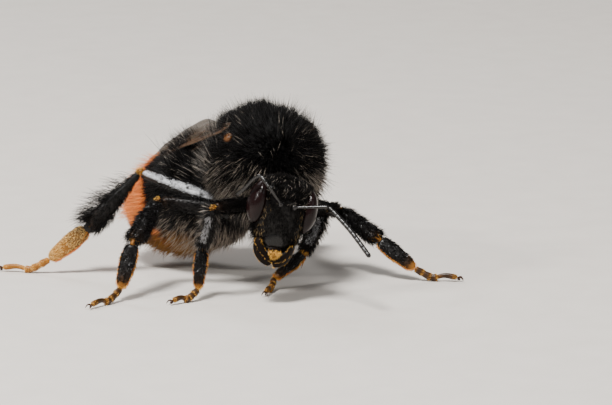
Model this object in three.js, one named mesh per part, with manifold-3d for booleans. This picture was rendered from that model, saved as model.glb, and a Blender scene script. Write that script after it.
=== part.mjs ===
// A red-tailed bumblebee queen, life size, standing on its six feet.
//
// Millimetres, +Z up. The thorax heads along -Y and the bee's left side is +X. The head is turned
// and tipped to the bee's right, and the abdomen bends to the right as it droops to the floor.
// Every solid gives the outline with its coat of hair. Neighbours are parted by thin cuts.

import * as THREE from 'three';
import { mergeVertices } from 'three/addons/utils/BufferGeometryUtils.js';
import Module from 'manifold-3d';

const wasm = await Module();
wasm.setup();

// ---------- driving dimensions ----------

const CUT = 0.05;                       // gap left between neighbours
const ORIGIN_AT = [-1.183, 2.253];     // floor point under the thorax frame that becomes the origin

const THORAX = { front: [0.2, -4.7, 7.9], back: [-0.1, 5.5, 9.65], halfWidth: 4.8, halfHeight: 4.85 };

const ABDOMEN = {
  line: [[0, 3.4, 7.6], [-0.7, 5.9, 6.1], [-2.1, 8.3, 4.9], [-3.7, 10.9, 3.85], [-4.7, 12.9, 3.1]],
  halfWidth: 4.4,
  halfHeight: 4.35,
  cuts: [0.2, 0.38, 0.56, 0.73, 0.88],  // shares of its length where one ring ends and the next begins
};

// In the head's own axes: x to the bee's left, y to the crown, z out of the face.
const HEAD = {
  middle: [-1.4, -5.4, 6.1],
  yaw: -12,
  roll: 14.6,
  crown: 3.0,
  mouth: -2.45,
  halfWidth: 2.46,
  halfDepth: 1.35,
  // Breadth at shares of the way from the crown to the mouth.
  profile: [
    [0, 0], [0.05, 0.42], [0.14, 0.68], [0.26, 0.88], [0.4, 0.98], [0.5, 1],
    [0.62, 0.95], [0.74, 0.83], [0.86, 0.66], [0.95, 0.48], [1, 0],
  ],
};
const CLYPEUS = { middle: [0, -1.5, 0.95], half: [1.0, 1.0, 0.45] };
const EYE = { middle: [1.85, 0.78, -0.05], half: [0.72, 1.62, 1.1] };
const MANDIBLE = { line: [[1.2, -1.8, 0.3], [1.12, -2.8, 0.8], [0.27, -3.08, 0.95]], breadth: 0.92, thick: 0.56 };
const ANTENNA = {
  right: {
    socket: [-0.4, 1.05, 1.1],
    elbow: [-1.82, 2.24, 2.0],
    tips: [[-2.5, 2.73, 1.22], [-2.95, 1.49, -0.04], [-3.2, 0.79, -0.82]],
  },
  left: { socket: [0.4, 1.05, 1.1], elbow: [2.7, 1.77, 2.06], tips: [[4.3, 0.62, 3.25], [5.76, -0.69, 4.51]] },
};
const SCAPE_RADIUS = 0.26;
const FLAGELLUM_RADIUS = 0.27;

const WING = { thick: 0.5, root: [3.15, -0.3, 11.75], length: 15.2, yaw: -3, droop: 17.5, roll: 38 };
const HINDWING = { share: 0.68, setBack: 0.9, drop: 0.56 };
const TEGULA = { middle: [3.5, -0.95, 11.65], half: [0.5, 0.68, 0.38] };

// Hips, and the sizes of each length of leg, for the front, middle and hind pairs.
const PAIR = {
  front: {
    hip: [1.9, -2.3, 6.6],
    length: { femur: 3.7, tibia: 3.5, basitarsus: 2.95, tarsus: 2.3 },
    radius: { femur: 0.5, tibia: 0.52, basitarsus: 0.42, tarsus: 0.29 },
    heel: 0.8,
  },
  middle: {
    hip: [2.5, 0.1, 5.5],
    length: { femur: 5.4, tibia: 4.2, basitarsus: 3.4, tarsus: 3.2 },
    radius: { femur: 0.5, tibia: 0.68, basitarsus: 0.5, tarsus: 0.29 },
    heel: 0.9,
  },
  hind: {
    hip: [2.7, 2.3, 6.0],
    length: { femur: 6.2, tibia: 5.7, basitarsus: 3.8, tarsus: 3.7 },
    radius: { femur: 0.52, tibia: 0.98, basitarsus: 0.66, tarsus: 0.3 },
    heel: 1.05,
  },
};
const FLATNESS = 0.62;                  // thickness of a tibia or basitarsus over its breadth
const SOLE = 0.25;                      // height of the foot's middle line over the floor
const CLAW = { length: 0.6, radius: 0.2, spread: 28 };

// Each leg's stance in degrees, as [swing, lift]. Swing turns from straight out sideways towards the
// tail, and lift raises the far end. The heel's height gives the basitarsus and the foot their lift.
const STANCE = {
  front_right: { side: -1, femur: [-14, 2], tibia: [82, -64], basitarsus: -49, tarsus: -12 },
  front_left: { side: 1, femur: [39, -25], tibia: [205, -50], basitarsus: 187, tarsus: 230 },
  middle_right: { side: -1, femur: [27, 9], tibia: [-36, -35], basitarsus: -31, tarsus: -26 },
  middle_left: { side: 1, femur: [29, -12], tibia: [-70, -22], basitarsus: -48, tarsus: -30 },
  hind_right: { side: -1, femur: [44, 16], tibia: [35, -48], basitarsus: 32, tarsus: 38 },
  hind_left: { side: 1, femur: [55, 25], tibia: [60, -70], basitarsus: 75, tarsus: 75 },
};

// ---------- finishes ----------

const finish = (color, roughness) => new THREE.MeshStandardMaterial({ color, roughness, metalness: 0 });
const FINISH = {
  coat: () => finish(0x1b1714, 0.85),
  redCoat: () => finish(0xc4561c, 0.85),
  shell: () => finish(0x15110f, 0.35),
  foot: () => finish(0x9a5a1e, 0.5),
  eye: () => finish(0x1d1012, 0.2),
  jaw: () => finish(0x33200f, 0.35),
  plate: () => finish(0xb88a3e, 0.4),
  wing: () => finish(0x6e5a42, 0.3),
};

// ---------- vectors ----------

const UP = new THREE.Vector3(0, 0, 1);
const AHEAD = new THREE.Vector3(1, 0, 0);
const SIDES = { right: -1, left: 1 };
const vec = (list) => new THREE.Vector3(...list);
const radians = THREE.MathUtils.degToRad;
const mirrored = ([x, y, z], side) => vec([side * x, y, z]);
const turnAbout = (axis, degrees) => new THREE.Quaternion().setFromAxisAngle(axis, radians(degrees));

// The unit vector that swings from sideways to the tail and lifts, on one side of the bee.
function heading(side, swing, lift) {
  const out = Math.cos(radians(lift));
  return vec([side * out * Math.cos(radians(swing)), out * Math.sin(radians(swing)), Math.sin(radians(lift))]);
}

// ---------- solids ----------

// A geometry whose faces share their corners, made while its shape is still plain.
function welded(geometry) {
  geometry.deleteAttribute('normal');
  geometry.deleteAttribute('uv');
  return mergeVertices(geometry, 1e-5);
}

// A closed manifold from a welded geometry, whichever way its faces wind.
function manifold(geometry) {
  const place = geometry.attributes.position;
  const corners = geometry.index.array;
  const [a, b, c] = [new THREE.Vector3(), new THREE.Vector3(), new THREE.Vector3()];
  const faces = [];
  let volume = 0;
  for (let i = 0; i < corners.length; i += 3) {
    const [p, q, r] = corners.slice(i, i + 3);
    if (p === q || q === r || r === p) continue;
    faces.push([p, q, r]);
    a.fromBufferAttribute(place, p);
    b.fromBufferAttribute(place, q);
    c.fromBufferAttribute(place, r);
    volume += a.dot(b.cross(c));
  }
  const outward = volume < 0 ? faces.map(([p, q, r]) => [p, r, q]) : faces;
  return new wasm.Manifold(new wasm.Mesh({
    numProp: 3,
    vertProperties: new Float32Array(place.array),
    triVerts: new Uint32Array(outward.flat()),
  }));
}

// A three.js geometry from a manifold, measured from the point where its node sits.
function geometryOf(body, pivot) {
  const mesh = body.getMesh();
  const geometry = new THREE.BufferGeometry();
  geometry.setAttribute('position', new THREE.BufferAttribute(mesh.vertProperties, 3));
  geometry.setIndex(new THREE.BufferAttribute(mesh.triVerts, 1));
  geometry.translate(-pivot.x, -pivot.y, -pivot.z);
  geometry.computeVertexNormals();
  return geometry;
}

// A closed tube along a curve. The profile lists [share of the curve's length, radius] and starts
// and ends at radius 0. Broad and flat stretch the section, and side is the way of its broad axis.
function tube(curve, profile, { broad = 1, flat = 1, side = UP, sides = 8, grow = 0 } = {}) {
  const outline = profile.map(([share, radius]) => new THREE.Vector2(radius, share));
  const geometry = welded(new THREE.LatheGeometry(outline, sides));
  const place = geometry.attributes.position;
  const length = curve.getLength();
  for (let i = 0; i < place.count; i += 1) {
    const [x, share, z] = [place.getX(i), place.getY(i), place.getZ(i)];
    const radius = Math.hypot(x, z);
    const isEnd = radius < 1e-6;
    const swell = isEnd ? 0 : grow / radius;
    const onCurve = THREE.MathUtils.clamp(share, 0, 1);
    const along = curve.getTangentAt(onCurve);
    const across = side.clone().addScaledVector(along, -side.dot(along)).normalize();
    const through = across.clone().cross(along);
    const point = curve.getPointAt(onCurve);
    point.addScaledVector(along, (share - onCurve) * length + (isEnd ? Math.sign(share - 0.5) * grow : 0));
    point.addScaledVector(across, x * (broad + swell));
    point.addScaledVector(through, z * (flat + swell));
    place.setXYZ(i, point.x, point.y, point.z);
  }
  return manifold(geometry);
}

// An egg-shaped solid from its middle, half sizes and turn.
function egg(middle, half, turn, grow = 0) {
  const geometry = welded(new THREE.SphereGeometry(1, 12, 8));
  geometry.scale(...half.map((size) => size + grow));
  geometry.applyQuaternion(turn);
  geometry.translate(...middle.toArray());
  return manifold(geometry);
}

// The profile of a limb's length with round ends that reach past its joints.
function bone(length, start, middle, end) {
  const before = (0.9 * start) / length;
  const after = (0.9 * end) / length;
  return [
    [-before, 0], [-0.6 * before, 0.75 * start], [0.06, start], [0.55, middle],
    [0.94, end], [1 + 0.6 * after, 0.75 * end], [1 + after, 0],
  ];
}

// A profile between two round ends, fuller than an ellipse where the power is over 2.
function rounded(steps, power) {
  const profile = [];
  for (let i = 0; i <= steps; i += 1) {
    const angle = (Math.PI * i) / steps;
    const radius = i % steps ? Math.sin(angle) ** (2 / power) : 0;
    profile.push([0.5 - 0.5 * Math.cos(angle), radius]);
  }
  return profile;
}

const line = (from, to) => new THREE.LineCurve3(from, to);

// A body less its neighbours' pockets, without the slivers that they part from it.
function carve(body, pockets) {
  const rest = pockets.reduce((whole, pocket) => whole.subtract(pocket), body);
  return rest.decompose().reduce((most, piece) => (piece.volume() > most.volume() ? piece : most));
}

// What lies beyond a plane, or before it, half a cut's width away.
const beyond = (body, point, normal) => body.trimByPlane(normal.toArray(), normal.dot(point) + CUT / 2);
const before = (body, point, normal) => beyond(body, point, normal.clone().negate());

// ---------- head ----------

const headTurn = turnAbout(UP, HEAD.yaw).multiply(turnAbout(AHEAD, 90)).multiply(turnAbout(UP, -HEAD.roll));
const inHead = ([x, y, z]) => vec([x, y, z]).applyQuaternion(headTurn).add(vec(HEAD.middle));
const headSide = AHEAD.clone().applyQuaternion(headTurn);
const outOfFace = UP.clone().applyQuaternion(headTurn);

function headShape(grow) {
  const axis = line(inHead([0, HEAD.crown, 0]), inHead([0, HEAD.mouth, 0]));
  const { halfWidth, halfDepth } = HEAD;
  return tube(axis, HEAD.profile, { broad: halfWidth, flat: halfDepth, side: headSide, sides: 16, grow });
}

function eye(side, grow) {
  const [x, y, z] = EYE.middle;
  return egg(inHead([side * x, y, z]), EYE.half, headTurn, grow);
}

const clypeus = (grow) => egg(inHead(CLYPEUS.middle), CLYPEUS.half, headTurn, grow);

function mandible(side, grow) {
  const [base, elbow, tip] = MANDIBLE.line.map(([x, y, z]) => inHead([side * x, y, z]));
  const curve = new THREE.QuadraticBezierCurve3(base, elbow, tip);
  const profile = [[-0.1, 0], [0, 0.75], [0.25, 1], [0.55, 0.9], [0.8, 0.7], [1, 0.5], [1.06, 0]];
  const shape = { broad: MANDIBLE.breadth / 2, flat: MANDIBLE.thick / 2, side: outOfFace.clone().cross(headSide) };
  return tube(curve, profile, { ...shape, sides: 10, grow });
}

function scape(name, grow) {
  const { socket, elbow } = ANTENNA[name];
  const [from, to] = [inHead(socket), inHead(elbow)];
  return tube(line(from, to), bone(from.distanceTo(to), SCAPE_RADIUS, SCAPE_RADIUS, SCAPE_RADIUS), { grow });
}

function flagellum(name, grow) {
  const { elbow, tips } = ANTENNA[name];
  const curve = new THREE.CatmullRomCurve3([elbow, ...tips].map(inHead));
  const middle = [0.1, 0.26, 0.42, 0.58, 0.74, 0.9].map((share) => [share, FLAGELLUM_RADIUS]);
  const profile = [[-0.04, 0], [-0.02, 0.2], ...middle, [0.98, 0.2], [1, 0]];
  return tube(curve, profile, { side: outOfFace, grow });
}

// ---------- thorax and abdomen ----------

function thoraxShape(grow) {
  const axis = line(vec(THORAX.front), vec(THORAX.back));
  return tube(axis, rounded(12, 2.1), { broad: THORAX.halfHeight, flat: THORAX.halfWidth, sides: 20, grow });
}

// The abdomen's rings, from the waist to the tail, each with the point where its node sits.
function abdomenRings(pockets) {
  const axis = new THREE.CatmullRomCurve3(ABDOMEN.line.map(vec));
  let rest = tube(axis, rounded(14, 2.3), { broad: ABDOMEN.halfHeight, flat: ABDOMEN.halfWidth, sides: 18 });
  const rings = [];
  for (const share of ABDOMEN.cuts) {
    const pivot = axis.getPointAt(share);
    const along = axis.getTangentAt(share);
    rings.push({ body: carve(before(rest, pivot, along), pockets), pivot });
    rest = beyond(rest, pivot, along);
  }
  rings.push({ body: carve(rest, pockets), pivot: axis.getPointAt(1) });
  return rings;
}

// ---------- wings ----------

// A wing's outline in its own plane: x from root to tip, y from the leading to the trailing edge.
function wingOutline(length, chord) {
  const trailing = [[1, 0.15], [0.94, 0.48], [0.8, 0.76], [0.6, 0.76], [0.3, 0.42], [0, 0.12]];
  const outline = new THREE.Shape();
  outline.moveTo(0, -0.12 * chord);
  outline.quadraticCurveTo(0.45 * length, -0.22 * chord, 0.9 * length, -0.14 * chord);
  outline.splineThru(trailing.map(([along, across]) => new THREE.Vector2(along * length, across * chord)));
  outline.closePath();
  return outline;
}

// A wing folded over the abdomen. Setback moves its root towards the tail, drop moves it under.
function wing(side, { share = 1, setBack = 0, drop = 0 }, grow) {
  const length = WING.length * share;
  const chord = (WING.length * share) / 3.5;
  const [x, y, z] = WING.root;
  const along = heading(side, 90 + WING.yaw, -WING.droop);
  const inward = vec([-side, 0, 0]).addScaledVector(along, along.x * side).normalize();
  inward.applyAxisAngle(along, radians(side * WING.roll));
  const normal = along.clone().cross(inward);
  const under = normal.clone().multiplyScalar(-Math.sign(normal.z));
  const thick = WING.thick + 2 * grow;
  const outline = wingOutline(length + 2 * grow, chord + 2 * grow);
  const geometry = welded(new THREE.ExtrudeGeometry(outline, { depth: thick, bevelEnabled: false, curveSegments: 2 }));
  geometry.translate(-grow, 0, -thick / 2);
  geometry.applyMatrix4(new THREE.Matrix4().makeBasis(along, inward, normal));
  const root = vec([side * x, y, z]).addScaledVector(along, setBack).addScaledVector(under, drop);
  geometry.translate(root.x, root.y, root.z);
  return manifold(geometry);
}

const tegula = (side, grow) => egg(mirrored(TEGULA.middle, side), TEGULA.half, turnAbout(UP, 0), grow);

// ---------- legs ----------

// The joints of one leg from hip to claws.
function legLine(name) {
  const { side, femur, tibia, basitarsus, tarsus } = STANCE[name];
  const { hip, length, heel: heelHeight } = PAIR[name.split('_')[0]];
  const start = mirrored(hip, side);
  const knee = start.clone().addScaledVector(heading(side, ...femur), length.femur);
  const ankle = knee.clone().addScaledVector(heading(side, ...tibia), length.tibia);
  const fall = THREE.MathUtils.radToDeg(Math.asin((heelHeight - ankle.z) / length.basitarsus));
  const heel = ankle.clone().addScaledVector(heading(side, basitarsus, fall), length.basitarsus);
  const slope = THREE.MathUtils.radToDeg(Math.asin((SOLE - heel.z) / (0.45 * length.tarsus)));
  const ball = heel.clone().addScaledVector(heading(side, tarsus, slope), 0.45 * length.tarsus);
  const toe = ball.clone().addScaledVector(heading(side, tarsus, 0), 0.55 * length.tarsus);
  return { start, knee, ankle, heel, ball, toe };
}

const lengthShape = (from, to, radius, ends, grow, flat = 1) => tube(
  line(from, to),
  bone(from.distanceTo(to), ends[0] * radius, radius, ends[1] * radius),
  { flat, grow },
);

// The four lengths of one leg, whole and uncut.
function legShapes(name, grow = 0) {
  const { start, knee, ankle, heel, ball, toe } = legLine(name);
  const { radius } = PAIR[name.split('_')[0]];
  const foot = new THREE.CatmullRomCurve3([heel, ball, toe]);
  const footProfile = [[-0.06, 0], [0.02, 0.9], [0.25, 0.95], [0.45, 0.95], [0.7, 0.95], [0.97, 1], [1.05, 0]];
  return {
    femur: lengthShape(start, knee, radius.femur, [0.85, 0.72], grow),
    tibia: lengthShape(knee, ankle, radius.tibia, [0.6, 0.95], grow, FLATNESS),
    basitarsus: lengthShape(ankle, heel, radius.basitarsus, [0.85, 0.85], grow, FLATNESS + 0.1),
    tarsus: tube(foot, footProfile, { broad: radius.tarsus, flat: radius.tarsus, grow }),
  };
}

// The pair of claws at the end of a foot.
function claws({ toe, ball }) {
  const ahead = toe.clone().sub(ball).setZ(0).normalize();
  return [-CLAW.spread, CLAW.spread].map((spread) => {
    const way = ahead.clone().applyAxisAngle(UP, radians(spread));
    const tip = toe.clone().addScaledVector(way, CLAW.length);
    const profile = [[-0.2, 0], [0, CLAW.radius], [0.7, CLAW.radius * 0.7], [1, 0]];
    return tube(line(toe, tip), profile, { sides: 5 });
  });
}

// One leg's nodes, each cut where it meets the next and flat where it rests on the floor.
function legNodes(name) {
  const joints = legLine(name);
  const { start, knee, ankle, heel, ball } = joints;
  const shapes = legShapes(name);
  shapes.tarsus = claws(joints).reduce((foot, claw) => foot.add(claw), shapes.tarsus);
  const pivots = [start, knee, ankle, heel, ball];
  const ways = pivots.slice(1).map((point, i) => point.clone().sub(pivots[i]).normalize());
  return Object.keys(shapes).map((segment, i) => {
    let body = shapes[segment];
    if (i > 0) body = beyond(body, pivots[i], ways[i - 1].clone().add(ways[i]).normalize());
    if (i < 3) body = before(body, pivots[i + 1], ways[i].clone().add(ways[i + 1]).normalize());
    return { name: `leg_${name}_${segment}`, body: body.trimByPlane([0, 0, 1], 0), pivot: pivots[i], segment };
  });
}

// ---------- the bee ----------

const bee = new THREE.Group();

function node(name, body, pivot, material) {
  const mesh = new THREE.Mesh(geometryOf(body, pivot), material);
  mesh.name = name;
  mesh.position.set(pivot.x - ORIGIN_AT[0], pivot.y - ORIGIN_AT[1], pivot.z);
  bee.add(mesh);
}

const legNames = Object.keys(STANCE);
const sideNames = Object.keys(SIDES);
const legPockets = legNames.flatMap((name) => Object.values(legShapes(name, CUT)).slice(0, 2));
const wingPockets = Object.values(SIDES).flatMap((side) => [wing(side, {}, CUT), wing(side, HINDWING, CUT)]);
const antennaPockets = sideNames.flatMap((name) => [scape(name, CUT), flagellum(name, CUT)]);
const jawPockets = Object.values(SIDES).map((side) => mandible(side, CUT));
const eyePockets = Object.values(SIDES).map((side) => eye(side, CUT));

const facePockets = [...eyePockets, ...jawPockets, ...antennaPockets, clypeus(CUT)];
node('head', carve(headShape(0), [...facePockets, ...legPockets]), vec(HEAD.middle), FINISH.coat());
node('clypeus', carve(clypeus(0), jawPockets), inHead(CLYPEUS.middle), FINISH.shell());

for (const name of sideNames) {
  const side = SIDES[name];
  const { socket, elbow, tips } = ANTENNA[name];
  const bend = inHead(elbow);
  const scapeWay = bend.clone().sub(inHead(socket)).normalize();
  const bendWay = inHead(tips[0]).sub(bend).normalize().add(scapeWay).normalize();
  const midline = headSide.clone().multiplyScalar(side);
  node(`eye_${name}`, eye(side, 0), inHead([side * EYE.middle[0], ...EYE.middle.slice(1)]), FINISH.eye());
  const jaw = carve(beyond(mandible(side, 0), vec(HEAD.middle), midline), eyePockets);
  node(`mandible_${name}`, jaw, inHead([side * 1.2, -1.85, 0.3]), FINISH.jaw());
  node(`antenna_${name}_scape`, before(scape(name, 0), bend, bendWay), inHead(socket), FINISH.shell());
  node(`antenna_${name}_flagellum`, beyond(flagellum(name, 0), bend, bendWay), bend, FINISH.shell());
}

const tegulaPockets = Object.values(SIDES).map((side) => tegula(side, CUT));
const coatPockets = [...legPockets, ...wingPockets, ...tegulaPockets];
const thorax = carve(thoraxShape(0), [headShape(CUT), ...eyePockets, ...coatPockets]);
node('thorax', thorax, vec(THORAX.front), FINISH.coat());

abdomenRings([thoraxShape(CUT), ...coatPockets]).forEach(({ body, pivot }, i) => {
  node(`abdomen_${i + 1}`, body, pivot, i < 3 ? FINISH.coat() : FINISH.redCoat());
});

for (const name of sideNames) {
  const side = SIDES[name];
  const root = mirrored(WING.root, side);
  node(`tegula_${name}`, carve(tegula(side, 0), wingPockets), mirrored(TEGULA.middle, side), FINISH.plate());
  node(`forewing_${name}`, wing(side, {}, 0), root, FINISH.wing());
  node(`hindwing_${name}`, wing(side, HINDWING, 0), root, FINISH.wing());
}

for (const name of legNames) {
  for (const { name: nodeName, body, pivot, segment } of legNodes(name)) {
    node(nodeName, body, pivot, segment === 'tarsus' ? FINISH.foot() : FINISH.shell());
  }
}

export default bee;
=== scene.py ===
# %% [markdown]
# # A red-tailed bumblebee queen
#
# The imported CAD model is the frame: the bee's outline with its coat, in the pose it keeps. What is
# built here is what the eye sees inside that outline: one dark skin, shining eyes, jointed legs,
# veined wings, and a coat of some 166,000 hairs that reaches out to the outline.

# %% Load the frame
import math
import bpy
import numpy as np
from mathutils import Matrix, Vector


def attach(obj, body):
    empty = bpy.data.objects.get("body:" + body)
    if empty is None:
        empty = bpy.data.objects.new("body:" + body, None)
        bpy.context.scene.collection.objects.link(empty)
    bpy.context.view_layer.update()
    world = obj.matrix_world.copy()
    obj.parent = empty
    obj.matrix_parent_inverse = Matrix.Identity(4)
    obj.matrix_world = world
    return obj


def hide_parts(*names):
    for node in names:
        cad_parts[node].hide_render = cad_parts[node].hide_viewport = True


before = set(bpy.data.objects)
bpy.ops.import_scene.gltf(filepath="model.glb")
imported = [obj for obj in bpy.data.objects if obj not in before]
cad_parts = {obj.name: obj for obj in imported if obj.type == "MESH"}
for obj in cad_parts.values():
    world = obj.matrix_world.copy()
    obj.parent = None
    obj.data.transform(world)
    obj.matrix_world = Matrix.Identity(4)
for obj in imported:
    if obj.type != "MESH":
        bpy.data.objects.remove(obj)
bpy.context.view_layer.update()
print("nodes in the frame:", len(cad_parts))

# %% [markdown]
# ## Units and directions
#
# The bee's parts are measured in millimetres from the floor under its thorax, which heads along -Y
# with the bee's left side at +X. Blender wants metres from the frame's origin, the middle of the
# footprint, so one function turns the first into the second, as late as possible.

# %% Units and small helpers
MM = 0.001
ORIGIN_AT = np.array([-1.183, 2.253, 0.0])
UP = np.array([0.0, 0.0, 1.0])
SIDES = {"right": -1, "left": 1}
random = np.random.default_rng(20)


def placed(points):
    """Millimetres in the bee's own frame as metres in the CAD frame."""
    return (np.asarray(points, float) - ORIGIN_AT) * MM


def unit(vectors):
    """Vectors brought to length 1."""
    return vectors / np.maximum(np.linalg.norm(vectors, axis=-1, keepdims=True), 1e-12)


def smooth(shares, values, at):
    """Values along a smooth curve through a few given ones. It never overshoots them."""
    shares, values = np.asarray(shares, float), np.asarray(values, float)
    flat_values = values.reshape(len(shares), -1)
    step = np.diff(shares)[:, None]
    secant = np.diff(flat_values, axis=0) / step
    slope = np.vstack([secant[:1], np.zeros_like(secant[1:]), secant[-1:]])
    before, after = secant[:-1], secant[1:]
    agree = before * after > 0
    slope[1:-1][agree] = 2 * before[agree] * after[agree] / (before + after)[agree]
    at = np.asarray(at, float)
    inside = np.clip(at.ravel(), shares[0], shares[-1])
    i = np.clip(np.searchsorted(shares, inside, side="right") - 1, 0, len(shares) - 2)
    t = ((inside - shares[i]) / step[i, 0])[:, None]
    span = step[i]
    result = (
        (1 + 2 * t) * (1 - t) ** 2 * flat_values[i]
        + t * (1 - t) ** 2 * span * slope[i]
        + t**2 * (3 - 2 * t) * flat_values[i + 1]
        - t**2 * (1 - t) * span * slope[i + 1]
    )
    return result.reshape(at.shape + values.shape[1:])


def heading(side, swing, lift):
    """The unit vector that swings from sideways to the tail and lifts, on one side of the bee."""
    swing, lift = math.radians(swing), math.radians(lift)
    out = math.cos(lift)
    return np.array([side * out * math.cos(swing), out * math.sin(swing), math.sin(lift)])


# %% [markdown]
# ## Shader maths in plain Python
#
# A finish is a small graph of nodes. Wrapping a socket in a class that overloads the arithmetic
# signs lets a mask be written as `1 - rise * 0.5`, and every other node comes from one method.

# %% A shader value
def sign(operation):
    """Two methods for one of Python's signs: socket first, and reflected, with the socket second."""

    def plain(self, other):
        return self.maths(operation, self, other)

    def reflected(self, other):
        return self.maths(operation, other, self)

    return plain, reflected


class Socket:
    """A shader value. Python's own signs add Math nodes to it."""

    __add__, __radd__ = sign("ADD")
    __sub__, __rsub__ = sign("SUBTRACT")
    __mul__, __rmul__ = sign("MULTIPLY")
    __pow__, __rpow__ = sign("POWER")

    def __init__(self, paint, link):
        self.paint, self.link = paint, link

    def maths(self, operation, first, second):
        return self.paint.node("ShaderNodeMath", {"operation": operation}, {0: first, 1: second})

    def between(self, low, high):
        """0 below low, 1 above high, and smooth in between."""
        settings = {"interpolation_type": "SMOOTHSTEP", "clamp": True}
        return self.paint.node("ShaderNodeMapRange", settings, {"Value": self, 1: low, 2: high})


# %% A material
NUMBER_OUT, OBJECT_PLACE_OUT = 2, 3
MIX_SHARE, MIX_FIRST, MIX_SECOND, MIX_OUT = 0, 6, 7, 2


class Paint:
    """A material that is being mixed."""

    def __init__(self, name):
        self.material = bpy.data.materials.new(name)
        self.material.use_nodes = True
        self.tree = self.material.node_tree
        self.tree.nodes.clear()

    def node(self, kind, settings=None, sockets=None, output=0):
        """Adds a node: its settings first, then the values or links of its sockets."""
        made = self.tree.nodes.new(kind)
        for key, value in (settings or {}).items():
            setattr(made, key, value)
        for key, value in (sockets or {}).items():
            if isinstance(value, Socket):
                self.tree.links.new(value.link, made.inputs[key])
            else:
                made.inputs[key].default_value = value
        return Socket(self, made.outputs[output]) if made.outputs else None

    def attribute(self, name):
        """A number kept at the mesh's points."""
        return self.node("ShaderNodeAttribute", {"attribute_name": name}, output=NUMBER_OUT)

    def position(self, scale=1.0):
        """The place on the object in millimetres, times a scale."""
        here = self.node("ShaderNodeTexCoord", output=OBJECT_PLACE_OUT)
        return self.node("ShaderNodeVectorMath", {"operation": "SCALE"}, {0: here, "Scale": scale / MM})

    def noise(self, per_mm, detail=3.0):
        """Cloudy noise with so many lumps to a millimetre."""
        sockets = {"Vector": self.position(per_mm), "Scale": 1.0, "Detail": detail, "Roughness": 0.55}
        return self.node("ShaderNodeTexNoise", None, sockets)

    def cells(self, per_mm):
        """The distance from the middle of the nearest cell."""
        sockets = {"Vector": self.position(per_mm), "Scale": 1.0}
        return self.node("ShaderNodeTexVoronoi", None, sockets)

    def mix(self, share, first, second):
        """One colour passing into another."""
        first, second = (c if isinstance(c, Socket) else (*c, 1) for c in (first, second))
        settings = {"data_type": "RGBA", "clamp_factor": True}
        sockets = {MIX_SHARE: share, MIX_FIRST: first, MIX_SECOND: second}
        return self.node("ShaderNodeMix", settings, sockets, output=MIX_OUT)

    def bump(self, height, depth_mm, strength):
        """A surface raised by a height from 0 to 1 times a depth."""
        sockets = {"Height": height, "Distance": depth_mm * MM, "Strength": strength}
        return self.node("ShaderNodeBump", None, sockets)

    def finish(self, **sockets):
        """The surface itself, with its sockets' names written with _ for a space."""
        named = {key.replace("_", " "): value for key, value in sockets.items()}
        shader = self.node("ShaderNodeBsdfPrincipled", None, named)
        self.node("ShaderNodeOutputMaterial", None, {"Surface": shader})
        return self.material


print("shader helpers ready")

# %% [markdown]
# ## Rounded forms
#
# Thorax, abdomen, leg joints and feelers are all rounded forms around a smooth line. They could be
# sculpted, but then no hair would know where it stands. A form that can be asked for the point, the
# outward direction and the direction along the body at any place gives both the skin's mesh and the
# roots of the coat from the same few numbers.

# %% Places on a form
class Places:
    """Arrays of places: share of the line, angle round it, point, outward and along ways, and area."""

    unwrap = None

    def __init__(self, s, turn, point, out, along, area):
        self.s, self.turn, self.point = s, turn, point
        self.out, self.along, self.area = out, along, area


# %% The rounded form
NEAR, NEAR_S, NEAR_TURN = 0.02, 0.003, 0.02
ROOT_ROWS, ROOT_COLUMNS = 90, 60
BAKE_CELLS = 13


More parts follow.
